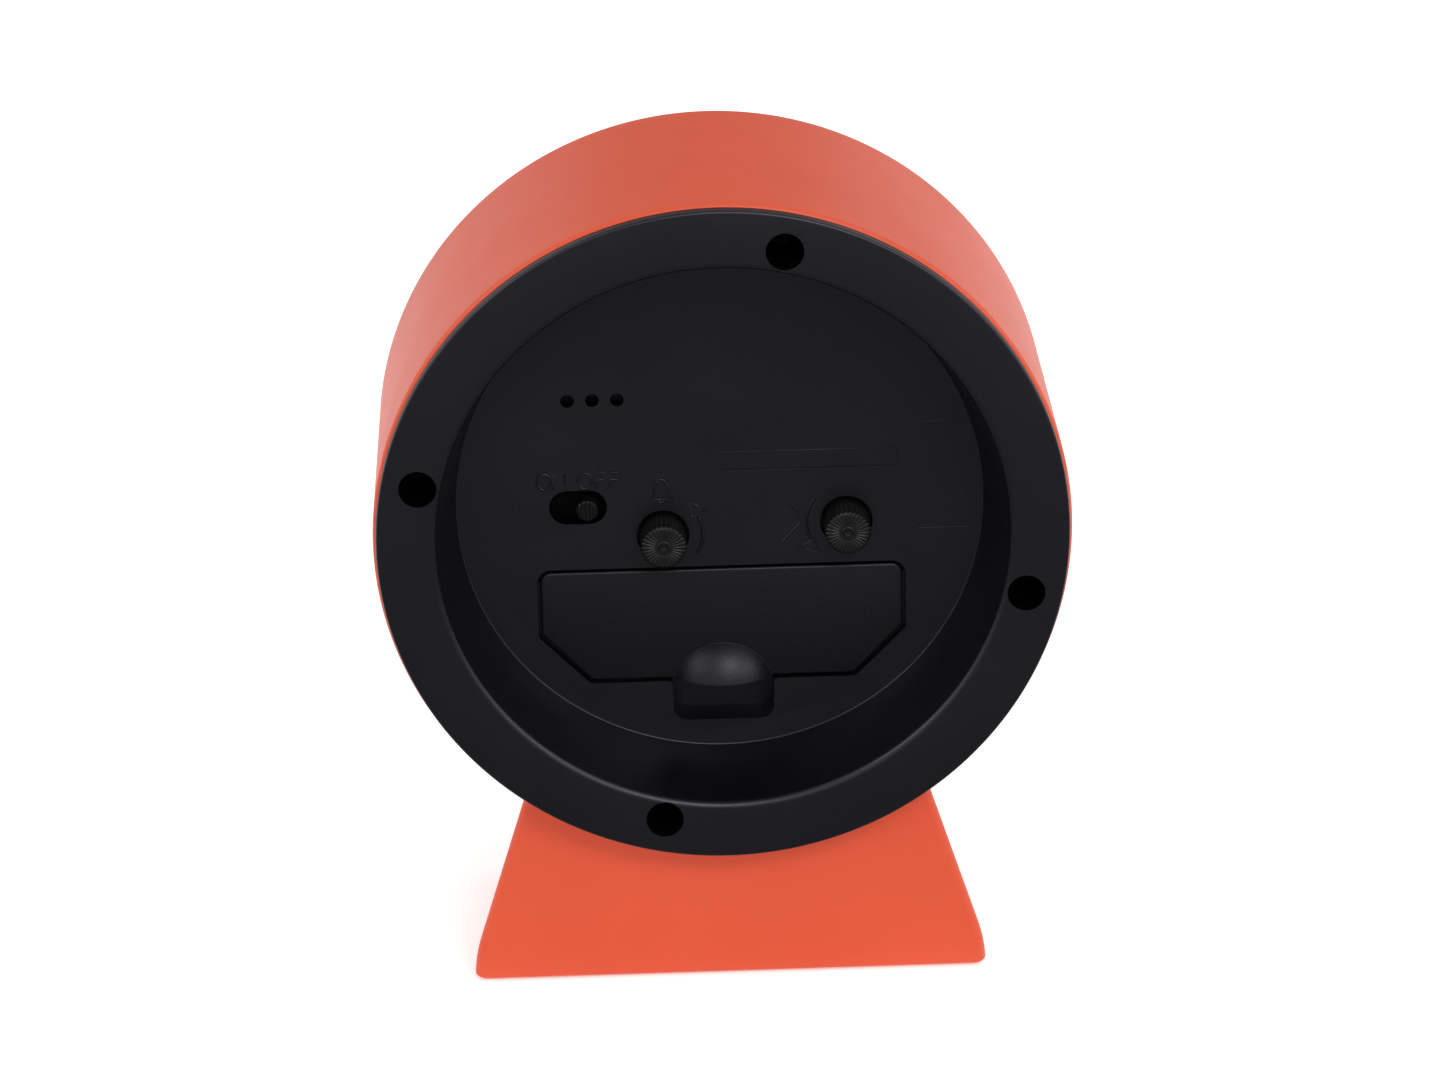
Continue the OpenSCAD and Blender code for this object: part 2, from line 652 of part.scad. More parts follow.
module movement_rear_case() color([0.86, 0.86, 0.84]) rear_view() difference() {
  union() {
    difference() {
      mov_block(0, mov_rear, mov_split);
      mov_block(mov_wall, mov_in, mov_split - 1);
    }
    for (at = ears) post(at, ear_r, mov_rear, mov_rear - ear_t);
    for (at = [ears[0], ears[1]])
      block([at[0] - ear_r, mov_high - 1, mov_rear], [at[0] + ear_r, at[1], mov_rear - ear_t]);
    block([mov_right - 1, ears[2][1] - ear_r, mov_rear], [ears[2][0], ears[2][1] + ear_r, mov_rear - ear_t]);
    for (at = train_at) pivot_cup(at);
    for (at = stator_ends) post(at, 1.6, mov_in + tiny, stator_w);
  }
  for (at = ears) post(at, small_screw_r + 0.15, mov_rear + 1, mov_rear - ear_t - 1);
  for (at = train_at) pivot_bore(at, mov_in - 9, mov_in + pivot_seat);
  for (at = stator_ends) post(at, 0.75, stator_w - 1, mov_in + 0.5);
  for (at = [alarm_at, time_at]) post(at, set_shaft_r + running, mov_rear + 1, mov_in - 1);
}

module movement_front_case() color([0.86, 0.86, 0.84]) rear_view() difference() {
  union() {
    difference() {
      mov_block(0, mov_front, mov_split);
      mov_block(mov_wall, mov_front_in, mov_split + 1);
    }
    post([0, 0], nose_r, mov_front + tiny, nose_end);
    post(alarm_at, 2.2, mov_front_in - tiny, alarm_w - thick_gear_t - 0.3);
    post(time_at, 2.2, mov_front_in - tiny, minute_w - thick_gear_t - 0.3);
    for (at = plate_posts) post(at, 1.8, mov_front_in - tiny, plate_w - plate_t);
  }
  post([0, 0], nose_bore, mov_front_in + 1, nose_end - 1);
  for (at = [alarm_at, time_at]) post(at, 0.8 + running, mov_front_in - 0.8, minute_w);
}

module gear_plate() color([0.9, 0.9, 0.9]) rear_view() difference() {
  union() {
    block([mov_left + mov_wall + slip, -1.8, plate_w], [mov_right - mov_wall - slip, 22, plate_w - plate_t]);
    block([-4, mov_low + mov_wall + slip, plate_w], [16, 0, plate_w - plate_t]);
    post(minute_at, 1, plate_w - tiny, hour_w - thick_gear_t - 0.3);
    post(minute_at, 1.6, plate_w - tiny, minute_w + 0.2);
  }
  post([0, 0], minute_tube_r + running, plate_w + 1, plate_w - plate_t - 1);
  for (i = [1 : 3]) pivot_bore(train_at[i], plate_w + 1, plate_w - plate_t - 1);
}

module movement_screws() color([0.62, 0.62, 0.65]) rear_view() for (at = ears)
  screw(at, small_screw_r, small_head_r, 1.2, mov_rear - ear_t, 4.4, -1);

module coil_bobbin() color([0.15, 0.35, 0.2]) rear_view() translate([coil_at[0], coil_at[1], coil_w])
  difference() {
    union() {
      for (i = [-1, 1]) translate([i * (coil_half - 0.4), 0, 0]) cube([0.8, 5, 5], center = true);
      cube([2 * coil_half - 1, 3.2, 1.8], center = true);
    }
    cube([2 * coil_half + 1, 2.2 + 0.1, stator_t + 0.1], center = true);
  }

module coil_winding() color([0.72, 0.35, 0.15]) rear_view() translate([coil_at[0], coil_at[1], coil_w])
  difference() {
    rotate([0, 90, 0]) cylinder(r = 2.35, h = 2 * coil_half - 1.64, center = true);
    cube([2 * coil_half, 3.22, 1.82], center = true);
  }

// Straight bar of the magnetic circuit, which runs through the coil
module coil_core() color([0.55, 0.55, 0.58]) rear_view() difference() {
  union() {
    block([stator_ends[0][0] - 2, coil_at[1] - 1.1, coil_w - stator_t / 2],
      [stator_ends[1][0] + 2, coil_at[1] + 1.1, coil_w + stator_t / 2]);
    for (at = stator_ends) post(at, 2, coil_w - stator_t / 2, coil_w + stator_t / 2);
  }
  for (at = stator_ends) post(at, 0.75, coil_w - 1, coil_w + 1);
}

module stator() color([0.6, 0.6, 0.62]) rear_view() difference() {
  union() {
    post(rotor_at, 4.6, stator_w, stator_w - stator_t);
    for (i = [0, 1]) let (side = 2 * i - 1, end = stator_ends[i])
      translate([0, 0, stator_w - stator_t]) linear_extrude(stator_t) polygon([
        rotor_at + [side * 4.4, 0.5], rotor_at + [side * 0.8, 4], end + [-side * 2, -2.4],
        end + [-side * 2, 0], end + [side * 2, 0], end + [side * 2, -2.4]
      ]);
    for (at = stator_ends) post(at, 2, stator_w, stator_w - stator_t);
  }
  post(rotor_at, 3, stator_w + 1, stator_w - 2);
  for (at = stator_ends) post(at, 0.75, stator_w + 1, stator_w - 2);
}

module stator_screws() color([0.7, 0.7, 0.72]) rear_view() for (at = stator_ends)
  screw(at, 0.7, 1.5, 0.8, coil_w - stator_t / 2, 2.9, -1);

module rotor_magnet() color([0.3, 0.3, 0.33]) rear_view() difference() {
  post(rotor_at, 2.5, stator_w + 0.4, stator_w - stator_t - 0.4);
  post(rotor_at, arbor_r + pressed, stator_w + 2, stator_w - 2);
}

module rotor_pinion() color([0.95, 0.95, 0.93]) rear_view() {
  arbor(rotor_at);
  post(rotor_at, arbor_r, stator_w + 0.4, third_w - tiny);
  at_depth(rotor_at, third_w, gear_t) pinion(pinion_teeth, fast_module, gear_t, rotor_dir + 180);
}

module fifth_wheel() color([0.95, 0.95, 0.93]) rear_view() {
  arbor(fifth_at);
  at_depth(fifth_at, seconds_w, gear_t + 0.8 + tiny)
    pinion(pinion_teeth, fast_module, gear_t + 0.8 + tiny, fifth_dir + 180);
  at_depth(fifth_at, third_w, gear_t) wheel(fifth_teeth, fast_module, gear_t, rotor_dir);
}

module seconds_wheel() color([0.95, 0.95, 0.93]) rear_view() {
  post([0, 0], pivot_r, mov_in + pivot_seat - 0.1, seconds_w);
  at_depth([0, 0], seconds_w, gear_t) wheel(seconds_teeth, fast_module, gear_t, fifth_dir);
  at_depth([0, 0], seconds_w - gear_t + tiny, gear_t + 0.8)
    pinion(pinion_teeth, third_module, gear_t + 0.8, third_dir);
  post([0, 0], arbor_r, third_w, second_hand_w - hand_t);
}

module third_wheel() color([0.95, 0.95, 0.93]) rear_view() {
  arbor(third_at);
  at_depth(third_at, third_w, gear_t) wheel(third_teeth, third_module, gear_t, third_dir + 180);
  at_depth(third_at, third_w - gear_t + tiny, gear_t + 0.8)
    pinion(pinion_teeth, centre_module, gear_t + 0.8, third_dir + 180);
}

module centre_wheel() color([0.95, 0.95, 0.93]) rear_view() difference() {
  at_depth([0, 0], centre_w, gear_t) wheel(centre_teeth, centre_module, gear_t, third_dir);
  post([0, 0], minute_tube_r + running, centre_w + 1, centre_w - gear_t - 1);
}

module cannon_pinion() color([0.95, 0.95, 0.93]) rear_view() difference() {
  union() {
    post([0, 0], minute_tube_r, centre_w + 0.3, minute_hand_w - hand_t);
    at_depth([0, 0], minute_w, thick_gear_t) pinion(cannon_teeth, motion_module, thick_gear_t, time_dir);
  }
  post([0, 0], minute_bore, centre_w + 1, minute_hand_w - 2);
}

module minute_wheel() color([0.95, 0.95, 0.93]) rear_view() difference() {
  union() {
    at_depth(minute_at, minute_w, thick_gear_t)
      wheel(minute_teeth, motion_module, thick_gear_t, time_dir + 180);
    at_depth(minute_at, minute_w - thick_gear_t + tiny, thick_gear_t + 0.8)
      pinion(minute_pinion_teeth, hour_module, thick_gear_t + 0.8, time_dir + 180);
  }
  post(minute_at, 1 + running, minute_w + 1, hour_w - 4);
}

module hour_wheel() color([0.95, 0.95, 0.93]) rear_view() difference() {
  union() {
    at_depth([0, 0], hour_w, thick_gear_t) wheel(hour_teeth, hour_module, thick_gear_t, time_dir);
    post([0, 0], hour_tube_r, hour_w, hour_hand_w - hand_t);
  }
  post([0, 0], hour_bore, hour_w + 1, hour_hand_w - 2);
}

module alarm_wheel() color([0.95, 0.95, 0.93]) rear_view() difference() {
  union() {
    at_depth([0, 0], alarm_w, thick_gear_t) wheel(alarm_teeth, alarm_module, thick_gear_t, alarm_dir);
    post([0, 0], alarm_tube_r, alarm_w, alarm_hand_w - hand_t);
  }
  post([0, 0], alarm_bore, alarm_w + 1, alarm_hand_w - 2);
}

// A setting gear with its front pivot and the shaft that carries the knob
module set_gear(at, w, teeth, m, a) {
  at_depth(at, w, thick_gear_t) pinion(teeth, m, thick_gear_t, a);
  post(at, 0.8, w - thick_gear_t - 0.9, w);
  post(at, set_shaft_r, w - tiny, knob_top - 2.4);
}

module alarm_set_gear() color([0.95, 0.95, 0.93]) rear_view()
  set_gear(alarm_at, alarm_w, alarm_set_teeth, alarm_module, alarm_dir + 180);

module time_set_gear() color([0.95, 0.95, 0.93]) rear_view()
  set_gear(time_at, minute_w, time_set_teeth, motion_module, time_dir + 180);

module knob(at) difference() {
  post(at, knob_d / 2, knob_top, knob_top - knob_l);
  post(at, set_shaft_r + pressed, knob_top - 2.4, knob_top - knob_l - 1);
  for (i = [0 : knob_notches - 1])
    post(at + polar(knob_d / 2 + 0.1, i * 360 / knob_notches), 0.3, knob_top + 1, floor_w + 1);
  translate([at[0], at[1], knob_top + 0.9]) sphere(r = 1.6);
}

module alarm_knob() color([0.12, 0.12, 0.13]) rear_view() knob(alarm_at);

module time_knob() color([0.12, 0.12, 0.13]) rear_view() knob(time_at);

// ---- Hands ----

// A flat hand with a round hub, pressed on its tube
module hand(dir, w, length, tail, width, hub, bore) rotate([0, 0, dir]) translate([0, 0, w - hand_t])
  linear_extrude(hand_t) difference() {
    union() {
      circle(r = hub, $fn = 64);
      polygon([[-tail, -width / 2], [length, -width * 0.3], [length, width * 0.3], [-tail, width / 2]]);
    }
    circle(r = bore + pressed, $fn = 64);
  }

module hour_hand() color([0.1, 0.1, 0.1]) rear_view()
  hand(hour_hand_dir, hour_hand_w, hour_hand_l, 6, 3, 3.7, hour_tube_r);

module minute_hand() color([0.1, 0.1, 0.1]) rear_view()
  hand(minute_hand_dir, minute_hand_w, minute_hand_l, 6, 2.4, 2.9, minute_tube_r);

module second_hand() color([0.8, 0.25, 0.15]) rear_view()
  hand(second_hand_dir, second_hand_w, second_hand_l, 10, 1, 2.2, arbor_r);

module alarm_hand() color([0.8, 0.25, 0.15]) rear_view()
  hand(alarm_hand_dir, alarm_hand_w, alarm_hand_l, 5, 1.6, 4.5, alarm_tube_r);

// ---- Alarm switch, board and buzzer ----

module alarm_switch_slider() color([0.12, 0.12, 0.13]) rear_view() {
  translate([button_at[0], button_at[1], slider_top - slider_t / 2])
    cube([slider_l, slider_h, slider_t], center = true);
  post(button_at, switch_button_d / 2, slider_top - 0.5, floor_w + 2);
}

module switch_contacts() color([0.75, 0.7, 0.5]) rear_view() {
  block([button_at[0] - 4, -2.2, board_w], [button_at[0] + 3, 2, board_w + 1.2]);
  for (u = [button_at[0] - 3, button_at[0] + 1])
    block([u, -1.4, board_w + 1], [u + 1, 1.2, slider_top - slider_t - slip]);
}

module circuit_board() color([0.16, 0.36, 0.2]) rear_view() difference() {
  block([board_low[0], board_low[1], board_w], [board_high[0], board_high[1], board_w - board_t]);
  for (at = board_posts) post(at, small_screw_r + 0.15, board_w + 1, board_w - board_t - 1);
}

module board_screws() color([0.62, 0.62, 0.65]) rear_view() for (at = board_posts)
  screw(at, small_screw_r, small_head_r, 1.2, board_w - board_t, 4.6, -1);

module chip_cover() color([0.08, 0.08, 0.08]) rear_view() intersection() {
  translate([-25, 1, board_w - board_t + 5]) sphere(r = 6.4);
  post([-25, 1], 5, board_w - board_t, board_w - board_t - 3);
}

module quartz_crystal() color([0.8, 0.8, 0.82]) rear_view()
  translate([-30, 17, board_w - board_t - 1.05]) rotate([0, 90, 0]) cylinder(r = 1.05, h = 6.2);

module buzzer() color([0.14, 0.14, 0.15]) rear_view() difference() {
  post(sound_at[1], buzzer_r, board_w, board_w + buzzer_t);
  post(sound_at[1], 1, board_w + buzzer_t - 1, board_w + buzzer_t + 1);
}

drum_case();
foot();
foot_base_plate();
foot_pad();
foot_screws();
lens();
dial_spacer_ring();
dial();
dial_retaining_ring();
rear_cover();
cover_screws();
battery_door();
battery();
positive_contact();
negative_contact();
movement_rear_case();
movement_front_case();
gear_plate();
movement_screws();
coil_bobbin();
coil_winding();
coil_core();
stator();
stator_screws();
rotor_magnet();
rotor_pinion();
fifth_wheel();
seconds_wheel();
third_wheel();
centre_wheel();
cannon_pinion();
minute_wheel();
hour_wheel();
alarm_wheel();
alarm_set_gear();
time_set_gear();
alarm_knob();
time_knob();
hour_hand();
minute_hand();
second_hand();
alarm_hand();
alarm_switch_slider();
switch_contacts();
circuit_board();
chip_cover();
quartz_crystal();
buzzer();
board_screws();
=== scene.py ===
import math

import bmesh
import bpy
from mathutils import Matrix, Vector


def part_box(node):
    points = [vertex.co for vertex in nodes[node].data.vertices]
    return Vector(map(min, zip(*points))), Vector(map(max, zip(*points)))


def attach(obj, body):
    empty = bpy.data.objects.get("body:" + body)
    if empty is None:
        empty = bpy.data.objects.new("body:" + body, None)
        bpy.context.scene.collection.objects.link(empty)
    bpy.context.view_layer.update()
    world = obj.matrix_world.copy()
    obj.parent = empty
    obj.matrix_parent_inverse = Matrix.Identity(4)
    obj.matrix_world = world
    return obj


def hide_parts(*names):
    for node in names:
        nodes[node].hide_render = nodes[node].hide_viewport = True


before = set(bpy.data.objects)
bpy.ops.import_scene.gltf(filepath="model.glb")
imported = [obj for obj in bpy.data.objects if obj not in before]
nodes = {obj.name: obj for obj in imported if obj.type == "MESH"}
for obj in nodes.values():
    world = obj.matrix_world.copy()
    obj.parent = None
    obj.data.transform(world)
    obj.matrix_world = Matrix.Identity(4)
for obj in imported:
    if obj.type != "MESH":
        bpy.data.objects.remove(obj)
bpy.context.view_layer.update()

print("frame loaded:", len(nodes), "nodes")

# ---------- where things are, from the frame ----------

caseLow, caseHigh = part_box("drum_case")
coverLow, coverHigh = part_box("rear_cover")
padLow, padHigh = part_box("foot_pad")
mm = 0.001
drumR = (caseHigh.x - caseLow.x) / 2 / mm
axisZ = caseHigh.z - drumR * mm
rearY = coverHigh.y
depth = (rearY - caseLow.y) / mm


# u to the right seen from behind, v up from the drum's axis, w towards the rear, all in millimetres
def rear(u, v, w=0.0):
    return Vector((-u * mm, rearY + w * mm, axisZ + v * mm))


def nodeCentre(name):
    low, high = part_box(name)
    mid = (low + high) / 2
    return -mid.x / mm, (mid.z - axisZ) / mm


def nodeTop(name):
    return (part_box(name)[1].y - rearY) / mm


# ---------- small mesh helpers ----------

def polar(r, degrees):
    a = math.radians(degrees)
    return r * math.cos(a), r * math.sin(a)


def arc(cx, cy, r, start, end, steps):
    points = []
    for i in range(steps + 1):
        dx, dy = polar(r, start + (end - start) * i / steps)
        points.append((cx + dx, cy + dy))
    return points


def roundedOutline(corners, radii, steps=6):
    # a closed outline with each corner turned by its own radius
    points = []
    count = len(corners)
    for i, (corner, r) in enumerate(zip(corners, radii)):
        here = Vector(corner)
        before = (Vector(corners[i - 1]) - here).normalized()
        after = (Vector(corners[(i + 1) % count]) - here).normalized()
        half = before.angle(after) / 2
        if r <= 0:
            points.append(tuple(here))
            continue
        start = here + before * (r / math.tan(half))
        end = here + after * (r / math.tan(half))
        centre = here + (before + after).normalized() * (r / math.sin(half))
        a0 = math.atan2(start.y - centre.y, start.x - centre.x)
        a1 = math.atan2(end.y - centre.y, end.x - centre.x)
        turn = (a1 - a0 + math.pi) % (2 * math.pi) - math.pi
        for k in range(steps + 1):
            a = a0 + turn * k / steps
            points.append((centre.x + r * math.cos(a), centre.y + r * math.sin(a)))
    return points


def meshObject(name, verts, faces):
    mesh = bpy.data.meshes.new(name)
    mesh.from_pydata([tuple(v) for v in verts], [], faces)
    mesh.validate()
    piece = bpy.data.objects.new(name, mesh)
    bpy.context.scene.collection.objects.link(piece)
    fixNormals(piece)
    return piece


def fixNormals(piece):
    bm = bmesh.new()
    bm.from_mesh(piece.data)
    bmesh.ops.remove_doubles(bm, verts=bm.verts, dist=1e-7)
    bmesh.ops.recalc_face_normals(bm, faces=bm.faces)
    bm.to_mesh(piece.data)
    bm.free()


# a closed profile of (radius, w) turned round an axis at (u, v); radius 0 closes it on the axis
def turned(name, profile, at=(0, 0), segments=192, radiusAt=None, depthAt=None):
    verts, rings = [], []
    for k, (r, w) in enumerate(profile):
        if r < 1e-6:
            rings.append([len(verts)])
            verts.append(rear(at[0], at[1], w))
            continue
        ring = []
        for i in range(segments):
            degrees = 360 * i / segments
            rr = r + (radiusAt(k, degrees) if radiusAt else 0)
            ww = w + (depthAt(k, degrees) if depthAt else 0)
            du, dv = polar(rr, degrees)
            ring.append(len(verts))
            verts.append(rear(at[0] + du, at[1] + dv, ww))
        rings.append(ring)
    faces = []
    pairs = list(zip(rings, rings[1:]))
    if len(rings[0]) > 1:
        pairs.append((rings[-1], rings[0]))
    for a, b in pairs:
        if len(a) == 1 and len(b) == 1:
            continue
        if len(a) == 1 or len(b) == 1:
            faces.append(list(b if len(a) == 1 else a))
            continue
        for i in range(segments):
            j = (i + 1) % segments
            faces.append([a[i], a[j], b[j], b[i]])
    return meshObject(name, verts, faces)


def prism(name, outline, w0, w1):
    count = len(outline)
    verts = [rear(u, v, w0) for u, v in outline] + [rear(u, v, w1) for u, v in outline]
    faces = [list(range(count)), list(range(count, 2 * count))]
    for i in range(count):
        j = (i + 1) % count
        faces.append([i, j, count + j, count + i])
    return meshObject(name, verts, faces)


def rod(name, at, r, w0, w1, segments=96):
    return prism(name, arc(at[0], at[1], r, 0, 360 - 360 / segments, segments - 1), w0, w1)


def slab(name, u0, u1, v0, v1, w0, w1):
    return prism(name, [(u0, v0), (u1, v0), (u1, v1), (u0, v1)], w0, w1)


def crossRod(name, u0, u1, v, w, r, segments=32):
    verts, faces = [], []
    for u in (u0, u1):
        for i in range(segments):
            dv, dw = polar(r, 360 * i / segments)
            verts.append(rear(u, v + dv, w + dw))
    faces.append(list(range(segments)))
    faces.append(list(range(segments, 2 * segments)))
    for i in range(segments):
        j = (i + 1) % segments
        faces.append([i, j, segments + j, segments + i])
    return meshObject(name, verts, faces)


def combine(piece, others, how):
    for other in others:
        step = piece.modifiers.new(how, "BOOLEAN")
        step.operation = how
        step.solver = "EXACT"
        step.object = other
    bakeModifiers(piece)
    for other in others:
        bpy.data.objects.remove(other, do_unlink=True)


def bakeModifiers(piece):
    bpy.context.view_layer.update()
    seen = piece.evaluated_get(bpy.context.evaluated_depsgraph_get())
    mesh = bpy.data.meshes.new_from_object(seen)
    old = piece.data
    piece.modifiers.clear()
    piece.data = mesh
    bpy.data.meshes.remove(old)


def joinPieces(piece, others):
    bm = bmesh.new()
    bm.from_mesh(piece.data)
    for other in others:
        bm.from_mesh(other.data)
        bpy.data.objects.remove(other, do_unlink=True)
    bm.to_mesh(piece.data)
    bm.free()


def softEdges(piece, width, segments=3, limit=38):
    bevel = piece.modifiers.new("soft edges", "BEVEL")
    bevel.width = width * mm
    bevel.segments = segments
    bevel.limit_method = "ANGLE"
    bevel.angle_limit = math.radians(limit)
    bevel.miter_outer = "MITER_ARC"
    bevel.harden_normals = False


def smoothShade(piece, limit=38):
    for face in piece.data.polygons:
        face.use_smooth = True
    piece.data.set_sharp_from_angle(angle=math.radians(limit))


def finishPiece(piece, material, body="clock", replaced=()):
    piece.data.materials.clear()
    piece.data.materials.append(material)
    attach(piece, body)
    if replaced:
        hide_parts(*replaced)


# ---------- finishes ----------

def newFinish(name):
    material = bpy.data.materials.new(name)
    material.use_nodes = True
    tree = material.node_tree
    return material, tree, tree.nodes["Principled BSDF"]


def noiseOf(tree, scale, detail=2.0, roughness=0.5):
    place = tree.nodes.new("ShaderNodeTexCoord")
    noise = tree.nodes.new("ShaderNodeTexNoise")
    noise.inputs["Scale"].default_value = scale
    noise.inputs["Detail"].default_value = detail
    noise.inputs["Roughness"].default_value = roughness
    tree.links.new(place.outputs["Object"], noise.inputs["Vector"])
    return noise


def rampOf(tree, source, stops):
    ramp = tree.nodes.new("ShaderNodeValToRGB")
    while len(ramp.color_ramp.elements) < len(stops):
        ramp.color_ramp.elements.new(0.5)
    for element, (at, colour) in zip(ramp.color_ramp.elements, stops):
        element.position = at
        element.color = (*colour, 1)
    tree.links.new(source, ramp.inputs["Fac"])
    return ramp


def rangeOf(tree, source, low, high):
    spread = tree.nodes.new("ShaderNodeMapRange")
    spread.inputs["To Min"].default_value = low
    spread.inputs["To Max"].default_value = high
    tree.links.new(source, spread.inputs["Value"])
    return spread.outputs["Result"]


def bumpOf(tree, shader, height, strength, distance):
    bump = tree.nodes.new("ShaderNodeBump")
    bump.inputs["Strength"].default_value = strength
    bump.inputs["Distance"].default_value = distance * mm
    tree.links.new(height, bump.inputs["Height"])
    tree.links.new(bump.outputs["Normal"], shader.inputs["Normal"])


def mouldedPlastic(name, dark, light, rough=(0.4, 0.5), grain=2600, grainHeight=0.02, specular=0.5,
                   patches=28, strength=0.35):
    material, tree, shader = newFinish(name)
    cloud = noiseOf(tree, patches, 3)
    ramp = rampOf(tree, cloud.outputs["Fac"], [(0.35, dark), (0.65, light)])
    tree.links.new(ramp.outputs["Color"], shader.inputs["Base Color"])
    tree.links.new(rangeOf(tree, noiseOf(tree, 90, 2).outputs["Fac"], *rough), shader.inputs["Roughness"])
    bumpOf(tree, shader, noiseOf(tree, grain, 2, 0.6).outputs["Fac"], strength, grainHeight)
    shader.inputs["Specular IOR Level"].default_value = specular
    return material


def metalFinish(name, dark, light, rough, grain=(900, 900, 60), bumpHeight=0.006):
    material, tree, shader = newFinish(name)
    place = tree.nodes.new("ShaderNodeTexCoord")
    stretch = tree.nodes.new("ShaderNodeMapping")
    stretch.inputs["Scale"].default_value = grain
    noise = tree.nodes.new("ShaderNodeTexNoise")
    noise.inputs["Scale"].default_value = 3
    noise.inputs["Detail"].default_value = 3
    tree.links.new(place.outputs["Object"], stretch.inputs["Vector"])
    tree.links.new(stretch.outputs["Vector"], noise.inputs["Vector"])
    ramp = rampOf(tree, noise.outputs["Fac"], [(0.3, dark), (0.7, light)])
    tree.links.new(ramp.outputs["Color"], shader.inputs["Base Color"])
    tree.links.new(rangeOf(tree, noise.outputs["Fac"], *rough), shader.inputs["Roughness"])
    bumpOf(tree, shader, noise.outputs["Fac"], 0.3, bumpHeight)
    shader.inputs["Metallic"].default_value = 1.0
    return material


def clearPlastic(name):
    material, tree, shader = newFinish(name)
    shader.inputs["Base Color"].default_value = (0.97, 0.98, 0.98, 1)
    shader.inputs["Transmission Weight"].default_value = 1.0
    shader.inputs["IOR"].default_value = 1.45
    tree.links.new(rangeOf(tree, noiseOf(tree, 120, 2).outputs["Fac"], 0.01, 0.04), shader.inputs["Roughness"])
    return material


def woundWire(name):
    material, tree, shader = newFinish(name)
    place = tree.nodes.new("ShaderNodeTexCoord")
    wave = tree.nodes.new("ShaderNodeTexWave")
    wave.bands_direction = "X"
    wave.inputs["Scale"].default_value = 1800
    wave.inputs["Distortion"].default_value = 0.4
    tree.links.new(place.outputs["Object"], wave.inputs["Vector"])
    ramp = rampOf(tree, wave.outputs["Fac"], [(0.1, (0.22, 0.05, 0.02)), (0.7, (0.72, 0.26, 0.1))])
    tree.links.new(ramp.outputs["Color"], shader.inputs["Base Color"])
    bumpOf(tree, shader, wave.outputs["Fac"], 0.6, 0.05)
    shader.inputs["Metallic"].default_value = 0.85
    shader.inputs["Roughness"].default_value = 0.32
    return material


def batteryJacket(name):
    material, tree, shader = newFinish(name)
    place = tree.nodes.new("ShaderNodeTexCoord")
    split = tree.nodes.new("ShaderNodeSeparateXYZ")
    tree.links.new(place.outputs["Object"], split.inputs["Vector"])
    span = tree.nodes.new("ShaderNodeMapRange")
    span.inputs["From Min"].default_value = -0.0255
    span.inputs["From Max"].default_value = 0.0255
    tree.links.new(split.outputs["X"], span.inputs["Value"])
    ramp = rampOf(tree, span.outputs["Result"], [
        (0.0, (0.55, 0.55, 0.56)), (0.03, (0.62, 0.36, 0.12)), (0.3, (0.62, 0.36, 0.12)),
        (0.305, (0.03, 0.03, 0.035)), (0.96, (0.03, 0.03, 0.035)), (0.965, (0.6, 0.6, 0.62))])
    ramp.color_ramp.interpolation = "CONSTANT"
    tree.links.new(ramp.outputs["Color"], shader.inputs["Base Color"])
    tree.links.new(rangeOf(tree, noiseOf(tree, 160, 2).outputs["Fac"], 0.2, 0.32), shader.inputs["Roughness"])
    shader.inputs["Metallic"].default_value = 0.5
    return material


orangeShade = {"dark": (0.61, 0.063, 0.0155), "light": (0.65, 0.07, 0.0185), "rough": (0.4, 0.48)}
blackShade = {"dark": (0.0014, 0.0013, 0.0021), "light": (0.0024, 0.0023, 0.0033), "rough": (0.32, 0.42),
              "tint": (0.87, 0.85, 1.0)}

finishes = {}


def addFinishes(made):
    finishes.update(made)


